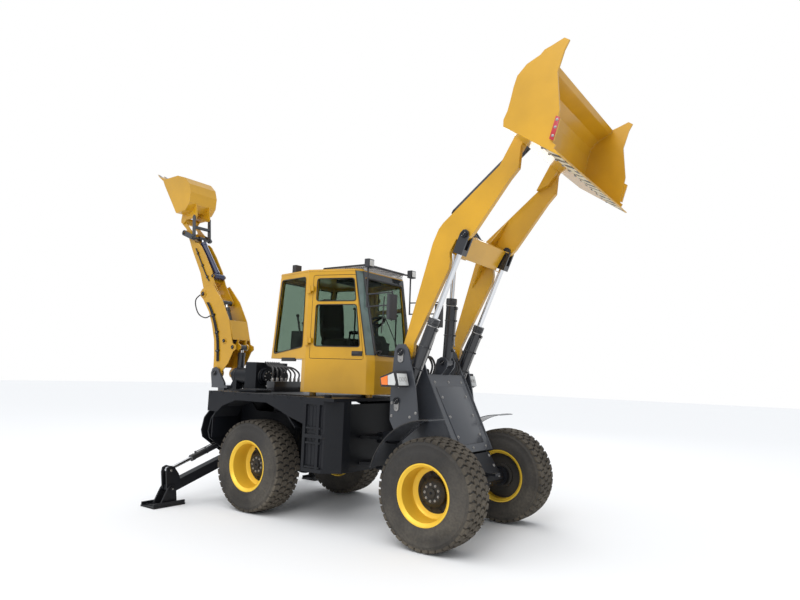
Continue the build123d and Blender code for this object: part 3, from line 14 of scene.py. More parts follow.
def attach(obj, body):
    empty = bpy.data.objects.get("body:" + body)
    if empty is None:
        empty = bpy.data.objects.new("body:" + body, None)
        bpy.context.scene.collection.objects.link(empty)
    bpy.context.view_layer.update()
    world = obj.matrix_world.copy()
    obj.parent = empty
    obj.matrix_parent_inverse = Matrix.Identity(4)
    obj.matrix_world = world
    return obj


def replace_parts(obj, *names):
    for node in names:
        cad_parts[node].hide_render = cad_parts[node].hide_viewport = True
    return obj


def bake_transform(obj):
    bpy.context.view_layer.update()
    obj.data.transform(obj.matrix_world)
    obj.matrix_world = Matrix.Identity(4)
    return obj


LOG = logging.getLogger("backhoe_loader")
Point = Sequence[float]
Flat = tuple[float, float]

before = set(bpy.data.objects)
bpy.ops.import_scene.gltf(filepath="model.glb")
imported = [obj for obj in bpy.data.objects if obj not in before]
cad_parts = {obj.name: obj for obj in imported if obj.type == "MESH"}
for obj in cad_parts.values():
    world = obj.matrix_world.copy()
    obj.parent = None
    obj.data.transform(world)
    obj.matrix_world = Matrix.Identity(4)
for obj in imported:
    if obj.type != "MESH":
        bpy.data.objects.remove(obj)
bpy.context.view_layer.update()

REAR_X = -0.2444
FRONT_X = REAR_X + 2.72
AXLE_Z = 0.59
ARM_PIVOT = (FRONT_X - 0.612, 2.101)
ARM_ANGLE = math.radians(59.47)
ARM_LENGTH = 2.878
BEAM_LOW = 1.2925
BEAM_HIGH = 1.5675
ARM_Y = 0.56
BUCKET_ANGLE = math.radians(-35.1)
DIGGER_PIVOT = (REAR_X - 3.13, 4.44)


def on_line(at: Flat, angle: float, along: float, across: float) -> Flat:
    """Place a point given along a direction and to its left in the side view.

    Args:
        at: The x and z of the line's start.
        angle: The direction of the line above the +X axis, in radians.
        along: The distance along the line.
        across: The distance to the left of the line.

    Returns:
        The x and z of the point.
    """
    c, s = math.cos(angle), math.sin(angle)
    return at[0] + along * c - across * s, at[1] + along * s + across * c


ARM_TIP = on_line(ARM_PIVOT, ARM_ANGLE, ARM_LENGTH, 0.0)
LIFT_BASE = (FRONT_X - 0.650, 1.527)
LIFT_EYE = on_line(ARM_PIVOT, ARM_ANGLE, 1.563, 0.023)
TILT_BASE = (FRONT_X - 0.391, 2.000)
LEVER_TOP = (REAR_X + 2.440, 3.900)
BOOM_BASE = (REAR_X - 1.520, 1.640)
BOOM_EYE = (REAR_X - 1.510, 2.180)
BOOM_TIP = (REAR_X - 2.3327, 3.0720)
DIPPER_BASE = (REAR_X - 1.720, 2.280)
DIPPER_EYE = (REAR_X - 1.985, 2.925)
CURL_BASE = (REAR_X - 2.225, 3.385)
ROCKER_TOP = (REAR_X - 2.760, 4.090)
CHEEK_OUT = 0.7005
COVER_RADIUS = 0.142
COVER_RING = 0.105
COVER_BOLTS = 10
SIDES = (-1, 1)
NAMED_SIDES = ((-1, "right"), (1, "left"))


class Effect(Enum):
    """The shader groups that more than one finish uses."""

    DUST = "dust_film"
    EDGE = "edge_wear"
    GRAIN = "surface_grain"


def new_group(
    name: str, inputs: Sequence[tuple[str, str, object]], outputs: Sequence[tuple[str, str]],
) -> bpy.types.NodeTree:
    """Make an empty shader group with named sockets.

    Args:
        name: The group's name.
        inputs: Name, socket type and default of each input.
        outputs: Name and socket type of each output.

    Returns:
        The group, with its input and output nodes made.
    """
    group = bpy.data.node_groups.new(name, "ShaderNodeTree")
    for label, kind, default in inputs:
        socket = group.interface.new_socket(label, in_out="INPUT", socket_type=kind)
        if default is not None:
            socket.default_value = default
    for label, kind in outputs:
        group.interface.new_socket(label, in_out="OUTPUT", socket_type=kind)
    group.nodes.new("NodeGroupInput").name = "in"
    group.nodes.new("NodeGroupOutput").name = "out"
    return group


def feed(node: bpy.types.Node, values: dict[str, object]) -> None:
    """Set constants on a node's inputs."""
    for key, value in values.items():
        node.inputs[key].default_value = value


class Graph:
    """A short way to add and join shader nodes."""

    def __init__(self, tree: bpy.types.NodeTree) -> None:
        """Keep the tree that the nodes go in."""
        self.tree = tree

    def add(self, kind: str, values: dict[str, object] | None = None, **settings: object) -> bpy.types.Node:
        """Add a node.

        Args:
            kind: The node's type, without the ShaderNode prefix.
            values: Constants for its inputs.
            **settings: Properties to set on the node.

        Returns:
            The new node.
        """
        node = self.tree.nodes.new("ShaderNode" + kind)
        for key, value in settings.items():
            setattr(node, key, value)
        feed(node, values or {})
        return node

    def join(self, source: bpy.types.NodeSocket, target: bpy.types.NodeSocket) -> None:
        """Join an output to an input."""
        self.tree.links.new(source, target)

    def maths(self, operation: str, first: object, second: object) -> bpy.types.NodeSocket:
        """Add a Math node on two sockets or numbers, and return its result."""
        node = self.add("Math", operation=operation)
        for index, value in enumerate((first, second)):
            if isinstance(value, (int, float)):
                node.inputs[index].default_value = value
            else:
                self.join(value, node.inputs[index])
        return node.outputs[0]

    def ramp(self, source: bpy.types.NodeSocket, low: float, high: float) -> bpy.types.NodeSocket:
        """Spread the values between low and high over 0 to 1, and return the result."""
        node = self.add("MapRange", {"From Min": low, "From Max": high})
        self.join(source, node.inputs["Value"])
        return node.outputs["Result"]

    def noise(self, where: bpy.types.NodeSocket, scale: float, detail: float) -> bpy.types.NodeSocket:
        """Add a noise texture on coordinates, and return its value."""
        node = self.add("TexNoise", {"Scale": scale, "Detail": detail})
        self.join(where, node.inputs["Vector"])
        return node.outputs["Fac"]

    def place(self) -> bpy.types.NodeSocket:
        """Return the object coordinates."""
        return self.add("TexCoord").outputs["Object"]

    def axes(self, source: bpy.types.NodeSocket) -> bpy.types.bpy_prop_collection:
        """Split a vector, and return its X, Y and Z."""
        node = self.add("SeparateXYZ")
        self.join(source, node.inputs[0])
        return node.outputs

    def mix(self, factor: bpy.types.NodeSocket, first: object, second: object) -> bpy.types.NodeSocket:
        """Mix two colours by a factor, and return the result."""
        node = self.add("Mix", data_type="RGBA")
        self.join(factor, node.inputs[0])
        for index, value in ((6, first), (7, second)):
            if isinstance(value, tuple):
                node.inputs[index].default_value = value
            else:
                self.join(value, node.inputs[index])
        return node.outputs[2]


DUST_COLOUR = (0.30, 0.26, 0.20, 1.0)
DUST_HEIGHTS = (0.1, 1.7)


def build_dust() -> bpy.types.NodeTree:
    """Build the group that lays dust on top faces and near the ground, in broad and fine patches."""
    group = new_group(
        Effect.DUST.value,
        (
            ("Paint", "NodeSocketColor", None), ("Dust", "NodeSocketColor", None),
            ("Amount", "NodeSocketFloat", 0.5),
        ),
        (("Color", "NodeSocketColor"), ("Mask", "NodeSocketFloat")),
    )
    graph = Graph(group)
    where = graph.place()
    low = graph.ramp(graph.axes(where)["Z"], DUST_HEIGHTS[1], DUST_HEIGHTS[0])
    facing = graph.axes(graph.add("NewGeometry").outputs["Normal"])
    top = graph.ramp(facing["Z"], 0.55, 1.0)
    patches = graph.ramp(graph.noise(where, 2.2, 8.0), 0.42, 0.68)
    fine = graph.ramp(graph.noise(where, 38.0, 6.0), 0.3, 0.75)
    place = graph.maths("ADD", graph.maths("MULTIPLY", low, 0.55), graph.maths("MULTIPLY", top, 0.35))
    place = graph.maths("ADD", place, 0.12)
    mask = graph.maths("MULTIPLY", place, graph.maths("ADD", graph.maths("MULTIPLY", patches, 0.7), 0.3))
    mask = graph.maths("MULTIPLY", mask, graph.maths("ADD", graph.maths("MULTIPLY", fine, 0.5), 0.5))
    source, target = group.nodes["in"], group.nodes["out"]
    mask = graph.maths("MULTIPLY", mask, source.outputs["Amount"])
    graph.join(graph.mix(mask, source.outputs["Paint"], source.outputs["Dust"]), target.inputs["Color"])
    graph.join(mask, target.inputs["Mask"])
    return group


def build_edge() -> bpy.types.NodeTree:
    """Build the group that rounds sharp edges in the normal and finds them for wear."""
    group = new_group(
        Effect.EDGE.value,
        (("Radius", "NodeSocketFloat", 0.004),),
        (("Normal", "NodeSocketVector"), ("Mask", "NodeSocketFloat")),
    )
    graph = Graph(group)
    source, target = group.nodes["in"], group.nodes["out"]
    round_edge = graph.add("Bevel", samples=4)
    graph.join(source.outputs["Radius"], round_edge.inputs["Radius"])
    bend = graph.add("VectorMath", operation="DOT_PRODUCT")
    graph.join(round_edge.outputs[0], bend.inputs[0])
    graph.join(graph.add("NewGeometry").outputs["True Normal"], bend.inputs[1])
    where = graph.place()
    broken = graph.ramp(graph.noise(where, 26.0, 8.0), 0.46, 0.6)
    edge = graph.ramp(bend.outputs["Value"], 0.985, 0.9)
    graph.join(graph.maths("MULTIPLY", edge, broken), target.inputs["Mask"])
    graph.join(round_edge.outputs[0], target.inputs["Normal"])
    return group


def build_grain() -> bpy.types.NodeTree:
    """Build the group that gives the fine height of paint, cast iron, rubber or cloth."""
    group = new_group(
        Effect.GRAIN.value,
        (("Scale", "NodeSocketFloat", 90.0),),
        (("Height", "NodeSocketFloat"), ("Tone", "NodeSocketFloat")),
    )
    graph = Graph(group)
    source, target = group.nodes["in"], group.nodes["out"]
    where = graph.place()
    fine = graph.add("TexNoise", {"Detail": 5.0})
    graph.join(where, fine.inputs["Vector"])
    graph.join(source.outputs["Scale"], fine.inputs["Scale"])
    broad = graph.noise(where, 1.6, 4.0)
    graph.join(fine.outputs["Fac"], target.inputs["Height"])
    graph.join(broad, target.inputs["Tone"])
    return group


GROUPS: dict[Effect, bpy.types.NodeTree] = {
    Effect.DUST: build_dust(),
    Effect.EDGE: build_edge(),
    Effect.GRAIN: build_grain(),
}


def fresh_material(name: str) -> tuple[bpy.types.Material, Graph, bpy.types.Node]:
    """Make a node material, and return it with its graph and its shader."""
    material = bpy.data.materials.new(name)
    material.use_nodes = True
    return material, Graph(material.node_tree), material.node_tree.nodes["Principled BSDF"]


@dataclass(frozen=True)
class Finish:
    """A painted, plated, moulded or rubber finish."""

    name: str
    colour: Point
    roughness: float = 0.35
    metallic: float = 0.0
    coat: float = 0.0
    dust: float = 0.4
    wear: float = 0.3
    worn_colour: Point = (0.16, 0.15, 0.14)
    grain_scale: float = 90.0
    grain_depth: float = 0.05
    edge_radius: float = 0.004
    tone: float = 0.10
    glow: float = 0.0
    specular: float = 0.5

    def material(self) -> bpy.types.Material:
        """Return this finish's material, made on first use."""
        found = bpy.data.materials.get(self.name)
        if found is not None:
            return found
        material, graph, shader = fresh_material(self.name)
        feed(shader, {
            "Metallic": self.metallic, "Coat Weight": self.coat, "Coat Roughness": 0.12,
            "Specular IOR Level": self.specular,
        })
        if self.glow > 0:
            feed(shader, {"Emission Color": (*self.colour, 1.0), "Emission Strength": self.glow})
        grain = graph.add("Group", {"Scale": self.grain_scale}, node_tree=GROUPS[Effect.GRAIN])
        dark = tuple(value * (1 - self.tone) for value in self.colour) + (1.0,)
        light = tuple(min(value * (1 + self.tone), 1.0) for value in self.colour) + (1.0,)
        paint = graph.mix(graph.ramp(grain.outputs["Tone"], 0.35, 0.65), dark, light)
        bump = graph.add("Bump", {"Strength": self.grain_depth, "Distance": 0.002})
        if self.wear > 0:
            edge = graph.add("Group", {"Radius": self.edge_radius}, node_tree=GROUPS[Effect.EDGE])
            worn = graph.maths("MULTIPLY", edge.outputs["Mask"], self.wear)
            paint = graph.mix(worn, paint, (*self.worn_colour, 1.0))
            graph.join(edge.outputs["Normal"], bump.inputs["Normal"])
        dust = graph.add("Group", {"Dust": DUST_COLOUR, "Amount": self.dust}, node_tree=GROUPS[Effect.DUST])
        graph.join(paint, dust.inputs["Paint"])
        graph.join(dust.outputs["Color"], shader.inputs["Base Color"])
        rough = graph.maths("ADD", graph.maths("MULTIPLY", dust.outputs["Mask"], 0.45), self.roughness)
        graph.join(graph.maths("MINIMUM", rough, 1.0), shader.inputs["Roughness"])
        graph.join(grain.outputs["Height"], bump.inputs["Height"])
        graph.join(bump.outputs["Normal"], shader.inputs["Normal"])
        return material


@dataclass(frozen=True)
class Pane:
    """A thin window pane whose green tint is partly the glass's own tint and partly painted reflection of the
    surroundings.
    """

    name: str = "tinted_glass_and_painted_reflection"
    # Painted reflection: the tint is darker and greener than the glass alone, to stand for the surroundings
    # that the glass reflects.
    tint_and_painted_reflection: Point = (0.36, 0.44, 0.38)
    index: float = 1.12

    def material(self) -> bpy.types.Material:
        """Return the pane's material, made on first use."""
        found = bpy.data.materials.get(self.name)
        if found is not None:
            return found
        material, graph, shader = fresh_material(self.name)
        # The base colour is the glass tint with painted reflection darkened into it.
        feed(shader, {
            "Base Color": (*self.tint_and_painted_reflection, 1.0), "Metallic": 0.0, "Transmission Weight": 1.0, "IOR": self.index,
        })
        smear = graph.ramp(graph.noise(graph.place(), 3.5, 6.0), 0.35, 0.75)
        graph.join(graph.maths("MULTIPLY", smear, 0.08), shader.inputs["Roughness"])
        return material


@dataclass(frozen=True)
class HazardEdge:
    """The pale underside of the cutting edge with broken black diagonals."""

    name: str = "hazard_edge"
    pale: Point = (0.72, 0.62, 0.42)
    dark: Point = (0.03, 0.028, 0.026)
    slant: float = 1.1
    per_metre: float = 5.5

    def material(self) -> bpy.types.Material:
        """Return the striped material, made on first use."""
        found = bpy.data.materials.get(self.name)
        if found is not None:
            return found
        material, graph, shader = fresh_material(self.name)
        feed(shader, {"Metallic": 0.0})
        where = graph.place()
        split = graph.axes(where)
        slant = graph.maths("ADD", split["Y"], graph.maths("MULTIPLY", split["X"], self.slant))
        cycle = graph.maths("FRACT", graph.maths("MULTIPLY", slant, self.per_metre), 0.0)
        stripe = graph.ramp(cycle, 0.47, 0.5)
        chips = graph.ramp(graph.noise(where, 9.0, 8.0), 0.44, 0.52)
        graph.join(
            graph.mix(graph.maths("MULTIPLY", stripe, chips), (*self.pale, 1.0), (*self.dark, 1.0)),
            shader.inputs["Base Color"],
        )
        graph.join(graph.ramp(graph.noise(where, 30.0, 4.0), -0.6, 1.2), shader.inputs["Roughness"])
        return material


YELLOW = Finish(
    "loader_yellow", (0.58, 0.305, 0.007), 0.32, coat=0.35, dust=0.18, wear=0.25, edge_radius=0.006,
)
RIM_YELLOW = Finish("rim_yellow", (0.64, 0.31, 0.010), 0.38, coat=0.2, dust=0.45, wear=0.35)
FRAME_BLACK = Finish(
    "frame_black", (0.0065, 0.0075, 0.0105), 0.42, coat=0.03, dust=0.06, wear=0.25,
    worn_colour=(0.06, 0.06, 0.065), specular=0.22,
)
HUB_BLACK = Finish("hub_black", (0.020, 0.019, 0.018), 0.60, dust=0.30, wear=0.2, specular=0.3)
SLATE = Finish("tower_slate", (0.040, 0.044, 0.053), 0.36, coat=0.3, dust=0.12, wear=0.3, edge_radius=0.006)
NAVY = Finish("cylinder_navy", (0.012, 0.022, 0.075), 0.30, coat=0.4, dust=0.25, wear=0.2)
CYLINDER_BLACK = Finish("cylinder_black", (0.016, 0.017, 0.021), 0.28, coat=0.35, dust=0.15, wear=0.2)
CHROME = Finish(
    "rod_chrome", (0.72, 0.73, 0.75), 0.12, metallic=1.0, dust=0.2, wear=0.0, grain_depth=0.01, tone=0.03,
)
STEEL = Finish("worn_steel", (0.34, 0.33, 0.32), 0.38, metallic=0.9, dust=0.4, wear=0.2)
RUBBER = Finish(
    "tyre_rubber", (0.022, 0.021, 0.021), 0.72, dust=0.55, wear=0.3, worn_colour=(0.085, 0.070, 0.055),
    grain_scale=160.0, grain_depth=0.25, tone=0.25, edge_radius=0.006, specular=0.35,
)
TREAD = Finish(
    "tread_rubber", (0.034, 0.028, 0.022), 0.80, dust=0.75, wear=0.35, worn_colour=(0.14, 0.115, 0.085),
    grain_scale=160.0, grain_depth=0.25, tone=0.3, edge_radius=0.006, specular=0.3,
)
SEAL = Finish("black_seal", (0.012, 0.012, 0.013), 0.55, dust=0.3, wear=0.0, grain_scale=200.0)
PLASTIC = Finish(
    "black_plastic", (0.020, 0.020, 0.022), 0.48, dust=0.3, wear=0.15, grain_scale=260.0, grain_depth=0.12,
)
CLOTH = Finish(
    "seat_cloth", (0.035, 0.036, 0.040), 0.85, dust=0.1, wear=0.0, grain_scale=420.0, grain_depth=0.5,
)
RED = Finish("wear_red", (0.42, 0.018, 0.030), 0.40, coat=0.2, dust=0.25, wear=0.35)
AMBER = Finish("amber_lens", (0.80, 0.17, 0.01), 0.15, coat=0.6, dust=0.1, wear=0.0, glow=0.08)
CLEAR = Finish("clear_lens", (0.55, 0.56, 0.55), 0.16, coat=0.8, dust=0.3, wear=0.0, tone=0.35)
BAND = Finish("glazed_band", (0.016, 0.019, 0.021), 0.10, coat=0.5, dust=0.10, wear=0.0, grain_depth=0.0)
GLASS_DARK = Finish(
    "corner_glass", (0.085, 0.125, 0.115), 0.07, coat=1.0, dust=0.10, wear=0.0, grain_depth=0.0, tone=0.5,
)
MIRROR = Finish(
    "mirror_face", (0.80, 0.82, 0.84), 0.04, metallic=1.0, dust=0.15, wear=0.0, grain_depth=0.0, tone=0.02,
)
GREY_MESH = Finish("guard_grey", (0.55, 0.56, 0.58), 0.35, metallic=0.6, dust=0.1, wear=0.0)
GLASS = Pane()
HAZARD = HazardEdge()

NODE_FINISHES: tuple[tuple[object, tuple[str, ...]], ...] = (
    (YELLOW, (
        "cab_shell", "door_right", "door_left", "loader_arms", "loader_bucket", "boom", "dipper",
        "hoe_bucket",
    )),
    (RIM_YELLOW, ("rim_front_right", "rim_front_left", "rim_rear_right", "rim_rear_left")),
    (RUBBER, ("tyre_front_right", "tyre_front_left", "tyre_rear_right", "tyre_rear_left")),
    (SLATE, ("loader_tower", "swing_post", "tilt_lever", "tilt_link", "hoe_rocker", "hoe_link")),
    (NAVY, ("curl_barrel",)),
    (CYLINDER_BLACK, (
        "lift_barrels", "tilt_barrel", "boom_barrel", "dipper_barrel", "leg_barrel_right", "leg_barrel_left",
    )),
    (CHROME, (
        "tilt_rod", "boom_rod", "dipper_rod", "curl_rod", "leg_rod_right", "leg_rod_left", "lift_rods",
    )),
    (GLASS, ("cab_glass", "door_glass_right", "door_glass_left")),
    (PLASTIC, ("controls", "cab_fittings", "headlamps")),
    (CLOTH, ("seat",)),
)


ROD_EYES: tuple[tuple[str, Flat, Flat, float], ...] = (
    ("lift_rods", LIFT_BASE, LIFT_EYE, 1.855),
    ("tilt_rod", TILT_BASE, LEVER_TOP, 1.880),
    ("boom_rod", BOOM_BASE, BOOM_EYE, 0.490),
    ("dipper_rod", DIPPER_BASE, DIPPER_EYE, 0.640),
    ("curl_rod", CURL_BASE, ROCKER_TOP, 0.838),
)


def dress_rod_eyes() -> None:
    """Paint the eye or fork at the end of each plated rod black."""
    for name, base, eye, start in ROD_EYES:
        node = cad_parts[name]
        foot = Vector(base)
        way = (Vector(eye) - foot).normalized()
        node.data.materials.append(CYLINDER_BLACK.material())
        for polygon in node.data.polygons:
            place = node.matrix_world @ polygon.center
            if (Vector((place.x, place.z)) - foot).dot(way) > start:
                polygon.material_index = 1
    LOG.info("dressed %d rod eyes", len(ROD_EYES))


def dress_nodes() -> None:
    """Give every CAD node its finish; a node named nowhere is frame black."""
    chosen = {node: finish for finish, nodes in NODE_FINISHES for node in nodes}
    for name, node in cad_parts.items():
        finish = chosen.get(name, FRAME_BLACK)
        node.data.materials.clear()
        node.data.materials.append(finish.material())
        for polygon in node.data.polygons:
            polygon.material_index = 0
    LOG.info("dressed %d nodes", len(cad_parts))


CAB_PLAN: tuple[tuple[float, float, float, float], ...] = (
    (-0.230, 0.560, -0.090, 0.583),
    (0.590, 0.725, 0.570, 0.715),
    (1.430, 0.490, 1.220, 0.535),
    (1.500, 0.400, 1.280, 0.458),
)
CAB_LOW = 2.0
CAB_ROOF = 3.195


def cab_corner(index: int, z: float) -> Flat:
    """Return the x and half width of one corner of the cab's plan at a height.

    Args:
        index: The corner's row in the cab plan.
        z: The height above the ground.

    Returns:
        The corner's x in the frame and its half width.
    """
    low_x, low_y, top_x, top_y = CAB_PLAN[index]
    share = (z - CAB_LOW) / (CAB_ROOF - CAB_LOW)
    return REAR_X + low_x + share * (top_x - low_x), low_y + share * (top_y - low_y)


def side_wall(x: float, z: float) -> float:
    """Return the half width of the cab's side wall at a point of the side view."""
    corners = [cab_corner(index, z) for index in range(3)]
    before, after = (corners[0], corners[1]) if x < corners[1][0] else (corners[1], corners[2])
    share = (x - before[0]) / (after[0] - before[0])
    return before[1] + share * (after[1] - before[1])


def turns(count: int, shift: float = 0.0) -> list[float]:
    """Return the angles of a ring's like parts, turned by a share of their pitch."""
    return [2 * math.pi * (index + shift) / count for index in range(count)]


def smooth_path(points: Sequence[Point], steps: int = 6) -> list[Vector]:
    """Round a path of points with a curve that passes through them.

    Args:
        points: The points that the path passes.
        steps: How many short lines replace each span.

    Returns:
        The points of the rounded path.
    """
    knots = [Vector(point) for point in points]
    path: list[Vector] = [knots[0]]
    for index in range(len(knots) - 1):
        here, there = knots[index], knots[index + 1]
        before = knots[max(index - 1, 0)]
        after = knots[min(index + 2, len(knots) - 1)]
        for step in range(1, steps + 1):
            t = step / steps
            path.append(
                0.5 * (2 * here + (there - before) * t + (2 * before - 5 * here + 4 * there - after) * t * t
                       + (3 * here - before - 3 * there + after) * t * t * t)
            )
    return path


def put_in_scene(name: str, data: bpy.types.ID) -> bpy.types.Object:
    """Make an object of some data, link it to the scene and return it."""
    made = bpy.data.objects.new(name, data)
    bpy.context.scene.collection.objects.link(made)
    return made


class Mould:
    """A named piece under construction, with one finish for each part of it."""

    def __init__(self, name: str, body: str, slot: str) -> None:
        """Start a piece that moves with a body and keeps a slot name."""
        self.name = name
        self.body = body
        self.slot = slot
        self.mesh = bmesh.new()
        self.finishes: list[object] = []

    def take(self, part: bmesh.types.BMesh, finish: object) -> None:
        """Add a finished part to the piece.

        Args:
            part: The part's mesh, which is used up.
            finish: The finish of all its faces.
        """
        if finish not in self.finishes:
            self.finishes.append(finish)
        bmesh.ops.recalc_face_normals(part, faces=part.faces)
        for face in part.faces:
            face.material_index = self.finishes.index(finish)
            face.smooth = True
        carrier = bpy.data.meshes.new("carrier")
        part.to_mesh(carrier)
        part.free()
        self.mesh.from_mesh(carrier)
        bpy.data.meshes.remove(carrier)

    def round_off(self, part: bmesh.types.BMesh, width: float, segments: int = 2) -> None:
        """Bevel the sharp edges of a part."""
        if width <= 0:
            return
        sharp = [edge for edge in part.edges if len(edge.link_faces) == 2 and edge.calc_face_angle(0.0) > 0.6]
        bmesh.ops.bevel(
            part, geom=sharp, offset=width, offset_type="OFFSET", affect="EDGES", segments=segments,
            profile=0.5, material=-1, clamp_overlap=True,
        )

    def box(
        self, centre: Point, size: Point, finish: object, turn: Matrix | None = None, bevel: float = 0.004,
    ) -> None:
        """Add a bevelled block.

        Args:
            centre: The block's centre.
            size: Its three side lengths.
            finish: Its finish.
            turn: A rotation about its centre.
            bevel: The width of its rounded edges.
        """
        part = bmesh.new()
        place = Matrix.Translation(centre) @ (turn or Matrix.Identity(4)) @ Matrix.Diagonal((*size, 1.0))
        bmesh.ops.create_cube(part, size=1.0, matrix=place)
        self.round_off(part, bevel)
        self.take(part, finish)

    def rod(
        self, start: Point, end: Point, radius: float, finish: object, segments: int = 20,
        bevel: float = 0.002,
    ) -> None:
        """Add a round bar between two points.

        Args:
            start: The centre of its first end.
            end: The centre of its other end.
            radius: Its radius.
            finish: Its finish.
            segments: How many sides it has.
            bevel: The width of its rounded rims.
        """
        part = bmesh.new()
        axis = Vector(end) - Vector(start)
        turn = axis.to_track_quat("Z", "Y").to_matrix().to_4x4()
        bmesh.ops.create_cone(
            part, cap_ends=True, cap_tris=False, segments=segments, radius1=radius, radius2=radius,
            depth=axis.length,
            matrix=Matrix.Translation((Vector(start) + Vector(end)) / 2) @ turn,
        )
        self.round_off(part, bevel)
        self.take(part, finish)

    def tube(
        self, knots: Sequence[Point], radius: float, finish: object, steps: int = 5, segments: int = 8,
    ) -> None:
        """Sweep a round section along a rounded path through a few points."""
        self.sweep(smooth_path(knots, steps), radius, finish, segments)

    def bolt_ring(
        self, centre: Point, outward: Point, ring: float, count: int, across: float, height: float,
    ) -> None:
        """Add a ring of steel bolt heads on a face square to the X axis.

        Args:
            centre: The ring's centre.
            outward: The way that the face looks.
            ring: The radius of the ring.
            count: How many bolts it has.
            across: The width of a head over its flats.
            height: The height of a head.
        """
        for angle in turns(count):
            at = (centre[0], centre[1] + ring * math.cos(angle), centre[2] + ring * math.sin(angle))
            self.hexagon(at, outward, across, height)

    def hexagon(
        self, at: Point, outward: Point, across: float, height: float, finish: object | None = None,
    ) -> None:
        """Add a bolt head that stands on a face, with its washer; it is steel unless a finish is given."""
        finish = finish or STEEL
        base, lift = Vector(at), Vector(outward).normalized()
        self.rod(base, base + lift * height * 0.25, across * 0.72, finish, segments=12, bevel=0.0)
        self.rod(base, base + lift * height, across / 2, finish, segments=6, bevel=across * 0.05)

    def ball(self, centre: Point, radius: float, finish: object) -> None:
        """Add a knob."""
        part = bmesh.new()
        place = Matrix.Translation(centre)
        bmesh.ops.create_uvsphere(part, u_segments=14, v_segments=9, radius=radius, matrix=place)
        self.take(part, finish)

    def profile(
        self, outline: Iterable[Point], shift: Point, finish: object, bevel: float = 0.003, segments: int = 2,
    ) -> None:
        """Extrude a flat outline by a shift.

        Args:
            outline: The corners of the outline.
            shift: The direction and distance of the extrusion.
            finish: Its finish.
            bevel: The width of its rounded edges.
            segments: How many faces round each edge.
        """
        part = bmesh.new()
        corners = [part.verts.new(point) for point in outline]
        face = part.faces.new(corners)
        raised = bmesh.ops.extrude_face_region(part, geom=[face])
        moved = [item for item in raised["geom"] if isinstance(item, bmesh.types.BMVert)]
        bmesh.ops.translate(part, vec=shift, verts=moved)
        bmesh.ops.recalc_face_normals(part, faces=part.faces)
        self.round_off(part, bevel, segments)
        self.take(part, finish)

    def sweep(
        self, path: Sequence[Vector], radius: float, finish: object, segments: int = 10, closed: bool = False,
        flat: float = 1.0,
    ) -> None:
        """Sweep a round section along a path.

        Args:
            path: The points of the path.
            radius: The radius of the section.
            finish: Its finish.
            segments: How many sides the section has.
            closed: Whether the path joins its own start.
            flat: The section's height as a share of its width.
        """
        part = bmesh.new()
        points = list(path) + ([path[0], path[1]] if closed else [])
        frames: list[Matrix] = []
        turn = (points[1] - points[0]).to_track_quat("Z", "Y")
        for index, point in enumerate(points[:-1] if closed else points):
            ahead = points[min(index + 1, len(points) - 1)] - points[max(index - 1, 0)]
            if ahead.length > 1e-9:
                turn = (turn @ Vector((0, 0, 1))).rotation_difference(ahead) @ turn
            squeeze = Matrix.Diagonal((1.0, flat, 1.0, 1.0))
            frames.append(Matrix.Translation(point) @ turn.to_matrix().to_4x4() @ squeeze)
        bmesh.ops.create_circle(part, cap_ends=False, radius=radius, segments=segments, matrix=frames[0])
        ring = list(part.edges)
        for before, after in zip(frames, frames[1:]):
            grown = bmesh.ops.extrude_edge_only(part, edges=ring)["geom"]
            fresh = {item for item in grown if isinstance(item, bmesh.types.BMVert)}
            bmesh.ops.transform(part, matrix=after @ before.inverted(), verts=list(fresh))
            ring = [e for e in grown if isinstance(e, bmesh.types.BMEdge) and set(e.verts) <= fresh]
        if closed:
            bmesh.ops.remove_doubles(part, verts=part.verts, dist=radius * 0.2)
        else:
            open_edges = [edge for edge in part.edges if len(edge.link_faces) == 1]
            bmesh.ops.holes_fill(part, edges=open_edges, sides=0)
        self.take(part, finish)

    def hoop(
        self, centre: Point, axis: Point, ring: float, radius: float, finish: object, steps: int = 48,
    ) -> None:
        """Add a round ring by spinning a small circle.

        Args:
            centre: The ring's centre.
            axis: The direction of its axis.
            ring: The radius of the ring.
            radius: The radius of its section.
            finish: Its finish.
            steps: How many steps the spin takes.
        """
        part = bmesh.new()
        bmesh.ops.create_circle(
            part, cap_ends=False, radius=radius, segments=8,
            matrix=Matrix.Translation((ring, 0, 0)) @ Matrix.Rotation(math.pi / 2, 4, "X"),
        )
        bmesh.ops.spin(
            part, geom=list(part.edges), cent=(0, 0, 0), axis=(0, 0, 1), angle=2 * math.pi, steps=steps,
            use_merge=True,
        )
        bmesh.ops.remove_doubles(part, verts=part.verts, dist=radius * 0.05)
        turn = Vector(axis).to_track_quat("Z", "Y").to_matrix().to_4x4()
        bmesh.ops.transform(part, matrix=Matrix.Translation(centre) @ turn, verts=part.verts)
        self.take(part, finish)

    def spun(
        self, section: Sequence[Flat], centre: Point, side: int, steps: int, finish: object,
    ) -> None:
        """Add a ring spun about the Y axis from a closed section.

        Args:
            section: The radius and the distance outward of each corner.
            centre: The ring's centre.
            side: The side of the machine that outward faces.
            steps: How many steps the spin takes.
            finish: Its finish.
        """
        part = bmesh.new()
        corners = [part.verts.new((radius, side * out, 0)) for radius, out in section]
        edges = [part.edges.new((corner, corners[index - 1])) for index, corner in enumerate(corners)]
        bmesh.ops.spin(
            part, geom=edges, cent=(0, 0, 0), axis=(0, 1, 0), angle=2 * math.pi, steps=steps, use_merge=True,
        )
        bmesh.ops.remove_doubles(part, verts=part.verts, dist=1e-5)
        bmesh.ops.translate(part, vec=centre, verts=part.verts)
        self.take(part, finish)

    def done(self) -> bpy.types.Object:
        """Turn the piece into an object that moves with its body."""
        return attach(self.mesh_object(), self.body)

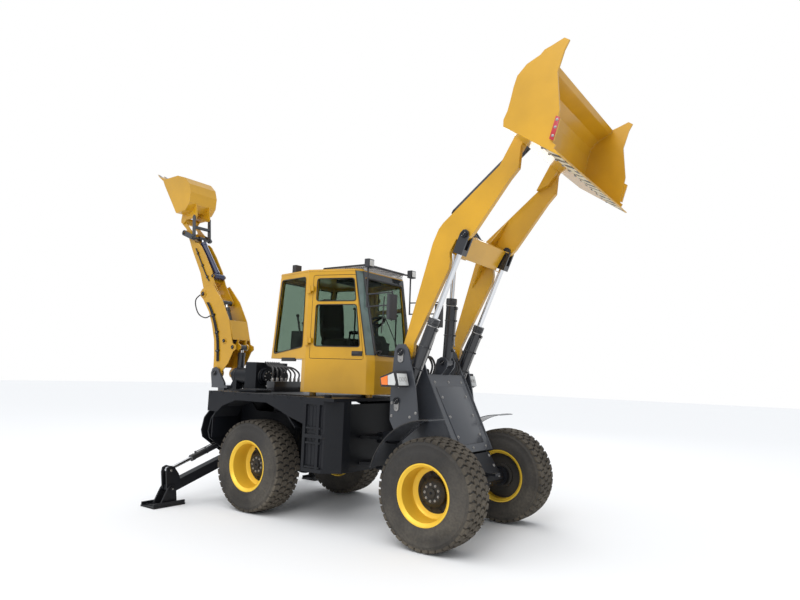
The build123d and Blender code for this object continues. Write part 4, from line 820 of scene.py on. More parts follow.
    def mesh_object(self) -> bpy.types.Object:
        """Turn the piece into an object with its finishes.

        Returns:
            The finished object.
        """
        mesh = bpy.data.meshes.new(self.name)
        self.mesh.to_mesh(mesh)
        self.mesh.free()
        for finish in self.finishes:
            mesh.materials.append(finish.material())
        mesh.set_sharp_from_angle(angle=math.radians(35))
        piece = put_in_scene(self.name, mesh)
        LOG.info("%s: %d faces", self.name, len(mesh.polygons))
        return piece


RIM_WELL: tuple[Flat, ...] = (
    (0.226, 0.001), (0.236, 0.006), (0.262, 0.012), (0.279, 0.028), (0.2838, 0.060), (0.2838, 0.001),
)
TYRE_WALL: tuple[Flat, ...] = (
    (0.2990, 0.1765), (0.3268, 0.1868), (0.3275, 0.2000), (0.3400, 0.2080), (0.3600, 0.2068),
    (0.3660, 0.2098), (0.4200, 0.2122), (0.4500, 0.2118), (0.4560, 0.2088), (0.5050, 0.2040),
    (0.5110, 0.2060), (0.5180, 0.2050), (0.5240, 0.1990), (0.5480, 0.1930), (0.5610, 0.1780),
    (0.5660, 0.1500), (0.5670, 0.0),
)
TYRE_CROWN: tuple[Flat, ...] = (
    (0.5600, 0.1790), (0.5672, 0.1500), (0.5682, 0.0), (0.5672, -0.1500), (0.5600, -0.1790), (0.5500, 0.0),
)
BLOCK_ROWS: tuple[tuple[float, float, float], ...] = (
    (-0.1510, 0.0455, 0.011), (-0.0500, 0.0460, 0.0), (0.0500, 0.0460, 0.0), (0.1510, 0.0455, 0.011),
)
BLOCK_PLAN: tuple[Flat, ...] = ((-0.034, -1), (0.031, -1), (0.049, 0), (0.031, 1), (-0.034, 1), (-0.016, 0))


@dataclass(frozen=True)
class WheelDetails:
    """Nuts, hub bolts, a valve and the treaded tyre of one wheel."""

    name: str
    axle_x: float
    side: int
    track: float = 1.8
    nut_count: int = 10
    nut_ring: float = 0.195
    nut_across: float = 0.034
    disc_out: float = -0.066
    hub_bolts: int = 9
    hub_ring: float = 0.088
    hub_out: float = 0.020
    valve_ring: float = 0.262
    valve_angle: float = 1.1
    disc_radius: float = 0.270
    disc_depth: float = 0.130
    block_count: int = 40
    block_top: float = 0.5872

    def at(self, radius: float, angle: float, out: float) -> Point:
        """Return a point of the wheel from its radius, angle and distance outward."""
        return (
            self.axle_x + radius * math.cos(angle),
            self.side * (self.track / 2 + out),
            AXLE_Z + radius * math.sin(angle),
        )

    def build(self) -> None:
        """Build the wheel's small parts."""
        outward = (0.0, float(self.side), 0.0)
        centre, cap = self.at(0, 0, 0), self.hub_out + 0.016
        nuts = Mould(f"wheel_nuts_{self.name}", f"wheel_{self.name}", "black")
        for angle in turns(self.nut_count):
            spot = self.at(self.nut_ring, angle, self.disc_out)
            nuts.hexagon(spot, outward, self.nut_across, 0.022, HUB_BLACK)
        for angle in turns(self.hub_bolts, 0.5):
            nuts.hexagon(self.at(self.hub_ring, angle, self.hub_out), outward, 0.020, 0.010)
        nuts.rod(self.at(0, 0, self.hub_out), self.at(0, 0, cap), 0.052, HUB_BLACK, 32, 0.004)
        nuts.hexagon(self.at(0, 0, cap), outward, 0.022, 0.012, FRAME_BLACK)
        well = [(radius, self.disc_out + out) for radius, out in RIM_WELL]
        nuts.spun(well, centre, self.side, 56, RIM_YELLOW)
        for low, high, radius in ((0.11, 0.165, 0.006), (0.150, 0.172, 0.009)):
            foot, top = (self.at(self.valve_ring, self.valve_angle, out) for out in (low, high))
            nuts.rod(foot, top, radius, FRAME_BLACK, 10, 0.001)
        nuts.done()
        self.paint_disc()
        self.tyre()

    def paint_disc(self) -> None:
        """Paint the centre disc and the hub of the rim dark, as in the photo."""
        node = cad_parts[f"rim_{self.name}"]
        node.data.materials.append(HUB_BLACK.material())
        for polygon in node.data.polygons:
            place = node.matrix_world @ polygon.center
            radius = math.hypot(place.x - self.axle_x, place.z - AXLE_Z)
            out = place.y * self.side - self.track / 2
            if radius < self.disc_radius and out > -self.disc_depth:
                polygon.material_index = 1

    def tyre(self) -> None:
        """Build the tyre with its four rows of arrow shaped blocks, in place of the plain CAD tyre."""
        name = f"tyre_{self.name}"
        mould = Mould(f"{name}_tread", f"wheel_{self.name}", "tyre")
        section = list(TYRE_WALL) + [(radius, -out) for radius, out in reversed(TYRE_WALL[:-1])]
        mould.spun(section, self.at(0, 0, 0), self.side, 72, RUBBER)
        mould.spun(TYRE_CROWN, self.at(0, 0, 0), self.side, 72, SEAL)
        for index, (row, half, drop) in enumerate(BLOCK_ROWS):
            self.block_row(mould, row, half, drop, 0.5 * (index % 2))
        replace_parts(mould.done(), name)

    def block_row(self, mould: Mould, row: float, half: float, drop: float, shift: float) -> None:
        """Build one row of tread blocks.

        Args:
            mould: The piece that takes the blocks.
            row: The row's distance outward from the wheel's middle.
            half: Half the width of a block.
            drop: How far the block's outer edge lies below its inner edge.
            shift: The share of a pitch by which the row is turned.
        """
        part = bmesh.new()
        corners = []
        for along, across in BLOCK_PLAN:
            fall = drop * (0.5 + 0.5 * across * math.copysign(1, row))
            corners.append(part.verts.new((along, row + across * half, self.block_top - fall)))
        face = part.faces.new(corners)
        raised = bmesh.ops.extrude_face_region(part, geom=[face])
        foot = [item for item in raised["geom"] if isinstance(item, bmesh.types.BMVert)]
        bmesh.ops.translate(part, vec=(0, 0, -0.030), verts=foot)
        bmesh.ops.recalc_face_normals(part, faces=part.faces)
        rims = [edge for edge in part.edges if all(vert not in foot for vert in edge.verts)]
        bmesh.ops.bevel(
            part, geom=rims, offset=0.004, offset_type="OFFSET", affect="EDGES", segments=1, profile=0.5,
            material=-1, clamp_overlap=True,
        )
        pitch = 2 * math.pi / self.block_count
        start = Matrix.Rotation(shift * pitch, 3, "Y")
        bmesh.ops.rotate(part, cent=(0, 0, 0), matrix=start, verts=part.verts)
        bmesh.ops.spin(
            part, geom=list(part.verts) + list(part.edges) + list(part.faces), cent=(0, 0, 0), axis=(0, 1, 0),
            angle=2 * math.pi - pitch, steps=self.block_count - 1, use_duplicate=True,
        )
        flip = Matrix.Identity(4) if self.side > 0 else Matrix.Rotation(math.pi, 4, "Z")
        bmesh.ops.transform(part, matrix=Matrix.Translation(self.at(0, 0, 0)) @ flip, verts=part.verts)
        mould.take(part, TREAD)


@dataclass(frozen=True)
class PinCap:
    """The head of a pivot pin, with its keeper plate and grease nipple."""

    body: str
    x: float
    z: float
    out: float
    radius: float
    thickness: float = 0.008


@dataclass
class PinCaps:
    """All the pin heads of one body."""

    body: str
    caps: list[PinCap]

    def build(self) -> None:
        """Build the pin heads on both sides."""
        mould = Mould(f"pin_heads_{self.body}", self.body, "black")
        for cap in self.caps:
            for side in SIDES:
                outward = (0.0, float(side), 0.0)
                face = (cap.x, side * cap.out, cap.z)
                top = (cap.x, side * (cap.out + cap.thickness), cap.z)
                mould.rod(face, top, cap.radius * 1.15, FRAME_BLACK, 24, 0.002)
                for angle in (0.7, 0.7 + math.pi):
                    ring = cap.radius * 0.72
                    spot = (cap.x + ring * math.cos(angle), face[1] + side * cap.thickness * 0.6,
                            cap.z + ring * math.sin(angle))
                    mould.hexagon(spot, outward, cap.radius * 0.36, cap.thickness * 0.75)
                mould.ball(top, 0.005, STEEL)
        mould.done()


def pin_caps() -> list[PinCaps]:
    """Return the pin heads of every body that carries pivot pins."""
    r = REAR_X
    rows = (
        PinCap("front_frame", *ARM_PIVOT, 0.714, 0.040),
        PinCap("front_frame", *LIFT_BASE, 0.714, 0.035),
        PinCap("front_frame", *TILT_BASE, 0.110, 0.030),
        PinCap("bucket", *ARM_TIP, 0.631, 0.040),
        PinCap("bucket", r + 3.640, 4.870, 0.116, 0.032),
        PinCap("arms", r + 2.720, 3.500, 0.095, 0.032),
        PinCap("lever", *LEVER_TOP, 0.088, 0.032),
        PinCap("lift_rod_pair", *LIFT_EYE, 0.633, 0.035),
        PinCap("post", r - 1.850, 1.760, 0.247, 0.035),
        PinCap("hoe_boom", *BOOM_TIP, 0.212, 0.032),
        PinCap("hoe_boom", *DIPPER_BASE, 0.206, 0.025),
        PinCap("hoe_boom", *BOOM_EYE, 0.200, 0.028, 0.006),
        PinCap("hoe_dipper", *DIPPER_EYE, 0.130, 0.025, 0.006),
        PinCap("hoe_dipper", *CURL_BASE, 0.128, 0.024, 0.006),
        PinCap("hoe_dipper", r - 3.020, 4.200, 0.200, 0.024),
        PinCap("rocker", *ROCKER_TOP, 0.200, 0.022),
    )
    bodies = dict.fromkeys(row.body for row in rows)
    return [PinCaps(body, [row for row in rows if row.body == body]) for body in bodies]


@dataclass(frozen=True)
class CabDetails:
    """Seals, handles, rails, a wiper and trim for the cab."""

    seal: float = 0.009
    quarter: tuple[Flat, ...] = ((-0.165, 2.070), (0.505, 2.160), (0.505, 3.100), (-0.055, 3.100))
    door: tuple[Flat, ...] = ((0.640, 2.006), (1.392, 2.006), (1.235, 3.120), (0.640, 3.120))
    lower: tuple[Flat, ...] = ((0.700, 2.171), (1.330, 2.171), (1.260, 2.720), (0.700, 2.720))
    upper: tuple[Flat, ...] = ((0.700, 2.770), (1.252, 2.770), (1.212, 3.070), (0.700, 3.070))
    screen: tuple[Flat, ...] = ((-0.362, 2.070), (0.362, 2.070), (0.418, 3.080), (-0.418, 3.080))
    back: tuple[Flat, ...] = ((-0.500, 2.090), (0.500, 2.090), (0.520, 3.080), (-0.520, 3.080))

    def rounded(self, outline: Sequence[Flat], corner: float) -> list[Flat]:
        """Round the corners of a window outline.

        Args:
            outline: The corners of the window.
            corner: The distance that each rounding takes from a corner.

        Returns:
            The points of the rounded outline.
        """
        points: list[Flat] = []
        for index, here in enumerate(outline):
            at = Vector(here)
            before = (Vector(outline[index - 1]) - at).normalized() * corner
            after = (Vector(outline[(index + 1) % len(outline)]) - at).normalized() * corner
            for step in range(6):
                t = step / 5
                bend = at + before * (1 - t) ** 2 + after * t * t
                points.append((bend.x, bend.y))
        dense: list[Flat] = []
        for index, here in enumerate(points):
            there = Vector(points[(index + 1) % len(points)])
            count = max(1, int((there - Vector(here)).length / 0.15))
            dense.extend(tuple(Vector(here).lerp(there, step / count)) for step in range(count))
        return dense

    def on_side(self, outline: Sequence[Flat], side: int, out: float) -> list[Vector]:
        """Lay a side view outline on the side wall, moved outward."""
        x0 = REAR_X
        return [Vector((x0 + x, side * (side_wall(x0 + x, z) + out), z)) for x, z in outline]

    def on_end(self, outline: Sequence[Flat], front: bool, out: float) -> list[Vector]:
        """Lay an end view outline on the front or rear wall, moved outward."""
        corner, way = (3, 1) if front else (0, -1)
        return [Vector((cab_corner(corner, z)[0] + way * out, y, z)) for y, z in outline]

    def build(self) -> None:
        """Build the trim of the cab's own walls, its doors and its roof."""
        trim = Mould("cab_seals", "rear_frame", "black_plastic")
        for side in SIDES:
            quarter = self.on_side(self.rounded(self.quarter, 0.04), side, 0.001)
            trim.sweep(quarter, self.seal, SEAL, 8, True, 0.7)
            trim.sweep(self.on_side(self.rounded(self.door, 0.03), side, -0.008), 0.006, SEAL, 6, True)
        trim.sweep(self.on_end(self.rounded(self.screen, 0.06), True, 0.001), 0.012, SEAL, 8, True, 0.7)
        trim.sweep(self.on_end(self.rounded(self.back, 0.04), False, 0.001), 0.010, SEAL, 8, True, 0.7)
        trim.done()
        for side, name in NAMED_SIDES:
            self.dress_door(side, name)
        self.dress_roof()
        self.dress_front()
        self.dress_screen()

    def dress_door(self, side: int, name: str) -> None:
        """Build the seals, handle and grip of one door.

        Args:
            side: Minus one for the right door and one for the left.
            name: The door's side in words.
        """
        mould = Mould(f"door_trim_{name}", f"cab_door_{name}", "black_plastic")
        for window in (self.lower, self.upper):
            frame_line = self.on_side(self.rounded(window, 0.04), side, 0.001)
            mould.sweep(frame_line, self.seal, SEAL, 8, True, 0.7)
        x = REAR_X + 1.330
        lock = Vector((x, side * side_wall(x, 2.085), 2.085))
        turn = Matrix.Rotation(-side * 0.27, 4, "Z")
        mould.box(lock + Vector((-0.03, side * 0.010, 0)), (0.150, 0.018, 0.062), SEAL, turn, 0.006)
        mould.box(lock + Vector((-0.045, side * 0.026, 0.004)), (0.105, 0.014, 0.024), PLASTIC, turn, 0.005)
        grip_x = REAR_X + 1.190
        grip = ((2.230, 0.049), (2.255, 0.085), (2.640, 0.085), (2.665, 0.049))
        path = [(grip_x, side * (side_wall(grip_x, z) - inward), z) for z, inward in grip]
        mould.tube(path, 0.011, SEAL, 5, 10)
        mould.done()

    def dress_roof(self) -> None:
        """Build the roof panel, its gutter and the mesh of the roof guard."""
        roof = Mould("roof_trim", "rear_frame", "yellow")
        x0 = REAR_X
        panel = ((-0.04, 0.50), (0.56, 0.62), (1.14, 0.46), (1.14, -0.46), (0.56, -0.62), (-0.04, -0.50))
        roof.profile([(x0 + x, y, CAB_ROOF - 0.002) for x, y in panel], (0, 0, 0.022), YELLOW, 0.010, 3)
        roof.done()
        gutter = Mould("roof_gutter", "rear_frame", "black_plastic")
        corners = [cab_corner(index, CAB_ROOF - 0.020) for index in range(4)]
        ring = [Vector((x, y - 0.002, CAB_ROOF - 0.020)) for x, y in corners]
        ring += [Vector((point.x, -point.y, point.z)) for point in reversed(ring)]
        for start, end in zip(ring, ring[1:] + ring[:1]):
            gutter.sweep([start, end], 0.009, YELLOW, 8)
        gutter.done()
        mesh = Mould("roof_guard_mesh", "rear_frame", "black_plastic")
        low_x, high_x, half, z = x0 + 0.566, x0 + 1.336, 0.42, CAB_ROOF + 0.067
        step, length = 0.052, high_x - low_x
        count = int((length + 2 * half) / step)
        for index in range(1, count):
            run = index * step
            start_x, start_y = (low_x + run, -half) if run < length else (high_x, run - length - half)
            end_x, end_y = (low_x, run - half) if run < 2 * half else (low_x + run - 2 * half, half)
            mesh.rod((start_x, start_y, z), (end_x, end_y, z), 0.0035, GREY_MESH, 5, 0.0)
            mesh.rod((start_x, -start_y, z + 0.005), (end_x, -end_y, z + 0.005), 0.0035, GREY_MESH, 5, 0.0)
        for y in (-half, half):
            mesh.rod((low_x, y, z), (high_x, y, z), 0.008, FRAME_BLACK, 10, 0.001)
        for y in (-half, half):
            self.skirt(mesh, Vector((low_x, y, z)), Vector((high_x, y, z)), Vector((-0.030, 0, -0.075)))
        self.skirt(mesh, Vector((high_x, -half, z)), Vector((high_x, half, z)), Vector((-0.055, 0, -0.075)))
        mesh.done()

    def skirt(self, mesh: Mould, start: Vector, end: Vector, drop: Vector) -> None:
        """Hang a band of crossed wires between the guard's rim and the roof.

        Args:
            mesh: The piece that takes the wires.
            start: One end of the band's top edge.
            end: The other end of it.
            drop: The step from the top edge to the foot.
        """
        run = end - start
        count = int(run.length / 0.030)
        for index in range(count):
            here, there = start + run * (index / count), start + run * ((index + 1) / count)
            mesh.rod(here, there + drop, 0.0032, GREY_MESH, 5, 0.0)
            mesh.rod(there, here + drop, 0.0032, GREY_MESH, 5, 0.0)
        mesh.rod(start + drop, end + drop, 0.007, GREY_MESH, 8, 0.0)

    def dress_screen(self) -> None:
        """Build the dark glazed bands that run from the windscreen round the cab's front corners."""
        bands = Mould("screen_bands", "rear_frame", "black_plastic")
        low, high = 2.068, CAB_ROOF - 0.030
        facing = Vector((0.982, 0, 0.181)).normalized()
        for side in SIDES:
            foot_y, head_y = (cab_corner(3, z)[1] for z in (low, high))
            strip = ((0.372, low), (foot_y, low), (head_y, high), (0.428, high))
            post = [Vector((cab_corner(3, z)[0] + 0.0010, side * y, z)) for y, z in strip]
            bands.profile(post, facing * 0.006, BAND, 0.0)
            corner = [Vector((x, side * y, z)) for (x, y), z in (
                (cab_corner(3, low), low), (cab_corner(2, low), low), (cab_corner(2, high), high),
                (cab_corner(3, high), high))]
            out = (corner[1] - corner[0]).cross(corner[3] - corner[0]).normalized() * -side
            out = out if out.x > 0 else -out
            rim = [point + out * 0.001 for point in corner]
            bands.profile(rim, out * 0.006, GLASS_DARK, 0.0)
            for near, far in ((rim[0], rim[3]), (rim[1], rim[2])):
                bands.sweep([near + out * 0.004, far + out * 0.004], 0.007, SEAL, 8)
        top = [Vector((cab_corner(3, z)[0] + 0.0015, y, z)) for y, z in (
            (-0.440, 3.090), (0.440, 3.090), (0.450, high), (-0.450, high))]
        bands.profile(top, facing * 0.006, BAND, 0.0)
        bands.done()

    def dress_front(self) -> None:
        """Build the wiper, the front lower panel lines and the rails at the cab's corners."""
        mould = Mould("cab_front_trim", "rear_frame", "black_plastic")
        foot = Vector((cab_corner(3, 2.045)[0] + 0.012, 0.16, 2.045))
        tip = Vector((cab_corner(3, 2.62)[0] + 0.020, -0.12, 2.62))
        mould.rod(foot + Vector((-0.02, 0, 0)), foot + Vector((0.015, 0, 0)), 0.024, SEAL, 16)
        arm = [foot + Vector((0.012, 0, 0)), foot.lerp(tip, 0.5) + Vector((0.016, 0, 0)), tip]
        blade = [tip + Vector((0.005, -0.05, -0.24)), tip + Vector((-0.07, 0.09, 0.26))]
        mould.sweep(arm, 0.006, SEAL, 8)
        mould.sweep(blade, 0.008, SEAL, 8, flat=0.6)
        x0 = REAR_X
        for side in SIDES:
            rail = ((1.505, 0.335, 2.085), (1.545, 0.340, 2.12), (1.545, 0.405, 2.12), (1.500, 0.410, 2.085))
            mould.tube([(x0 + x, side * y, z) for x, y, z in rail], 0.009, SEAL, 5, 10)
            sill_turn = Matrix.Rotation(side * 0.20, 4, "Z")
            mould.box((x0 + 0.20, side * 0.640, 1.99), (0.34, 0.02, 0.05), SEAL, sill_turn)
        mould.done()


@dataclass(frozen=True)
class Interior:
    """The padded seat, the dash and the lever knobs that show through the glass."""

    seat_x: float = REAR_X + 0.690
    rest_y: float = 0.285
    stand_y: float = 0.330
    wheel: Point = (REAR_X + 1.1245, 0.0, 2.5094)
    dash_x: float = REAR_X + 1.235
    dial_ys: tuple[float, ...] = (-0.085, 0.0, 0.085)

    def cushion(self, centre: Point, size: Point, tilt: float) -> bpy.types.Object:
        """Build one soft cushion.

        Args:
            centre: The cushion's centre.
            size: Its three lengths.
            tilt: How far it leans back, in radians.

        Returns:
            The cushion.
        """
        name = "seat_back" if size[2] > size[0] else "seat_base"
        part = bmesh.new()
        bmesh.ops.create_cube(part, size=1.0, matrix=Matrix.Diagonal((*size, 1.0)))
        bmesh.ops.subdivide_edges(part, edges=part.edges, cuts=7, use_grid_fill=True)
        half = Vector(size) / 2
        for vert in part.verts:
            share = Vector((vert.co.x / half.x, vert.co.y / half.y, vert.co.z / half.z))
            near = sorted(abs(value) for value in share)[1]
            vert.co *= 1.0 - 0.10 * near ** 6
            groove = math.exp(-((abs(share.y) - 0.55) / 0.07) ** 2)
            vert.co -= Vector((share.x, 0, share.z)) * 0.010 * groove
        bmesh.ops.smooth_vert(
            part, verts=part.verts, factor=0.5, use_axis_x=True, use_axis_y=True, use_axis_z=True,
        )
        place = Matrix.Translation(centre) @ Matrix.Rotation(tilt, 4, "Y")
        bmesh.ops.transform(part, matrix=place, verts=part.verts)
        bmesh.ops.recalc_face_normals(part, faces=part.faces)
        for face in part.faces:
            face.smooth = True
        mesh = bpy.data.meshes.new(name)
        part.to_mesh(mesh)
        part.free()
        mesh.materials.append(CLOTH.material())
        piece = put_in_scene(name, mesh)
        soften = piece.modifiers.new("soften", "SUBSURF")
        soften.levels = soften.render_levels = 1
        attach(piece, "rear_frame")
        return piece

    def build(self) -> None:
        """Build the seat, which stands for the plain CAD seat, and the small controls."""
        base = self.cushion((self.seat_x + 0.01, 0, 2.245), (0.50, 0.46, 0.13), 0.0)
        self.cushion((self.seat_x - 0.305, 0, 2.580), (0.11, 0.46, 0.60), -0.10)
        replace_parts(base, "seat")
        stand = Mould("seat_stand", "rear_frame", "black_plastic")
        stand.box((self.seat_x, 0, 2.115), (0.40, 0.34, 0.13), PLASTIC, bevel=0.012)
        stand.box((self.seat_x, 0, 2.060), (0.46, 0.40, 0.026), FRAME_BLACK)
        for side in SIDES:
            y = side * self.rest_y
            stand.box((self.seat_x - 0.05, y, 2.42), (0.30, 0.055, 0.050), PLASTIC, bevel=0.015)
            foot, top = (self.seat_x - 0.22, y, 2.22), (self.seat_x - 0.19, y, 2.42)
            stand.rod(foot, top, 0.014, SEAL)
        stand.done()
        knobs = Mould("control_knobs", "rear_frame", "black_plastic")
        for side in SIDES:
            y = side * self.stand_y
            knobs.ball((REAR_X + 0.020, y, 2.625), 0.026, SEAL)
            for step in (-1, 1):
                foot = (REAR_X + 0.110, y + step * 0.035, 2.395)
                head = (REAR_X + 0.090, y + step * 0.040, 2.520)
                knobs.rod(foot, head, 0.006, STEEL, 10, 0.0)
                knobs.ball(head, 0.016, SEAL)
        knobs.hoop(self.wheel, (-0.5, 0, 0.85), 0.176, 0.017, SEAL, 40)
        dash_turn = Matrix.Rotation(-0.5, 4, "Y")
        knobs.box((self.dash_x, 0, 2.275), (0.06, 0.30, 0.15), PLASTIC, dash_turn, 0.012)
        way = Vector((-0.88, 0, 0.48))
        for y in self.dial_ys:
            at = Vector((self.dash_x - 0.028, y, 2.292))
            knobs.rod(at, at + way * 0.010, 0.030, SEAL, 20)
            knobs.rod(at + way * 0.008, at + way * 0.012, 0.025, CLEAR, 20, 0.0)
        knobs.box((REAR_X + 0.86, 0, 3.10), (0.42, 0.50, 0.05), PLASTIC, bevel=0.012)
        knobs.done()


@dataclass(frozen=True)
class Lamps:
    """Lenses and rims of the head, work and rear lamps, and the mirror faces."""

    face_foot: float = FRONT_X - 0.478
    face_lean: float = 0.267
    face_low: float = 1.73
    side_out: float = 0.9343
    side_rim: tuple[Flat, ...] = (
        (-0.700, 1.705), (-0.718, 1.795), (-0.530, 1.862), (-0.494, 1.742), (-0.505, 1.705),
    )
    side_clear: tuple[Flat, ...] = (
        (-0.605, 1.712), (-0.612, 1.822), (-0.533, 1.850), (-0.500, 1.742), (-0.508, 1.712),
    )
    side_amber: tuple[Flat, ...] = ((-0.696, 1.712), (-0.712, 1.790), (-0.616, 1.821), (-0.609, 1.712))
    front_rim: tuple[Flat, ...] = ((0.735, 1.705), (0.735, 1.855), (0.915, 1.855), (0.915, 1.705))
    front_clear: tuple[Flat, ...] = ((0.742, 1.712), (0.742, 1.848), (0.9345, 1.848), (0.9345, 1.712))
    bulb_ys: tuple[float, ...] = (0.787, 0.842, 0.897)
    bulb_z: float = 1.780
    bolt_xs: tuple[float, ...] = (-0.70, -0.52)
    mirror_x: float = REAR_X + 1.850
    mirror_y: float = 0.560
    mirror_z: float = 2.6625
    front_lamp: Point = (REAR_X + 1.450, 0.493, CAB_ROOF + 0.0625)
    rear_lamp: Point = (REAR_X + 0.010, 0.420, CAB_ROOF + 0.090)
    tail_x: float = REAR_X - 0.863
    tail_z: float = 1.390

    def build(self) -> None:
        """Build the lenses of every lamp, and the mirror faces."""
        self.headlamps()
        self.work_lamps()

    def face_x(self, z: float) -> float:
        """Return the x of the headlamp's leaning face at a height."""
        return self.face_foot - (z - self.face_low) * self.face_lean

    def headlamps(self) -> None:
        """Build the rims, lenses, reflectors and bolts of both headlamps."""
        front = Mould("headlamp_lenses", "front_frame", "black_plastic")
        way = Vector((0.966, 0, 0.258))
        for side in SIDES:
            out = side * self.side_out
            rim = [(FRONT_X + x, out, z) for x, z in self.side_rim]
            front.profile(rim, (0, side * 0.010, 0), SEAL, 0.003)
            for lens, colour in ((self.side_clear, CLEAR), (self.side_amber, AMBER)):
                outline = [(FRONT_X + x, out + side * 0.008, z) for x, z in lens]
                front.profile(outline, (0, side * 0.012, 0), colour, 0.005, 3)
            for lens, ahead, depth, finish, bevel, steps in (
                (self.front_rim, 0.001, 0.008, SEAL, 0.003, 2),
                (self.front_clear, 0.007, 0.010, CLEAR, 0.004, 3),
            ):
                panel = [(self.face_x(z) + ahead, side * y, z) for y, z in lens]
                front.profile(panel, (depth, 0, 0), finish, bevel, steps)
            for y in self.bulb_ys:
                at = Vector((self.face_x(self.bulb_z) + 0.012, side * y, self.bulb_z))
                front.hoop(at + way * 0.006, way, 0.022, 0.0025, STEEL, 24)
            for x in self.bolt_xs:
                front.hexagon((FRONT_X + x, side * 0.86, 1.6905), (0, 0, -1), 0.016, 0.007)
        front.done()

    def work_lamps(self) -> None:
        """Build the roof lamps' and tail lamps' lenses and the mirrors' faces and backs."""
        work = Mould("work_lamp_lenses", "rear_frame", "black_plastic")
        mirror = (self.mirror_x, self.mirror_y, self.mirror_z)
        for side in SIDES:
            for (x, y, z), ahead, size, finish, bevel in (
                (self.front_lamp, 0.002, (0.010, 0.104, 0.098), SEAL, 0.004),
                (self.front_lamp, 0.008, (0.008, 0.086, 0.080), CLEAR, 0.003),
                (self.rear_lamp, -0.002, (0.010, 0.104, 0.104), SEAL, 0.004),
                (self.rear_lamp, -0.008, (0.008, 0.086, 0.086), CLEAR, 0.003),
                (mirror, -0.021, (0.004, 0.138, 0.290), MIRROR, 0.001),
                (mirror, 0.021, (0.010, 0.150, 0.304), PLASTIC, 0.004),
            ):
                work.box((x + ahead, side * y, z), size, finish, bevel=bevel)
            for y, colour in ((1.010, AMBER), (0.930, RED), (0.850, CLEAR)):
                rim, lens = ((self.tail_x - back, side * y, self.tail_z) for back in (0.0, 0.008))
                work.box(rim, (0.014, 0.070, 0.090), SEAL, bevel=0.003)
                work.box(lens, (0.010, 0.060, 0.080), colour, bevel=0.004)
        work.done()


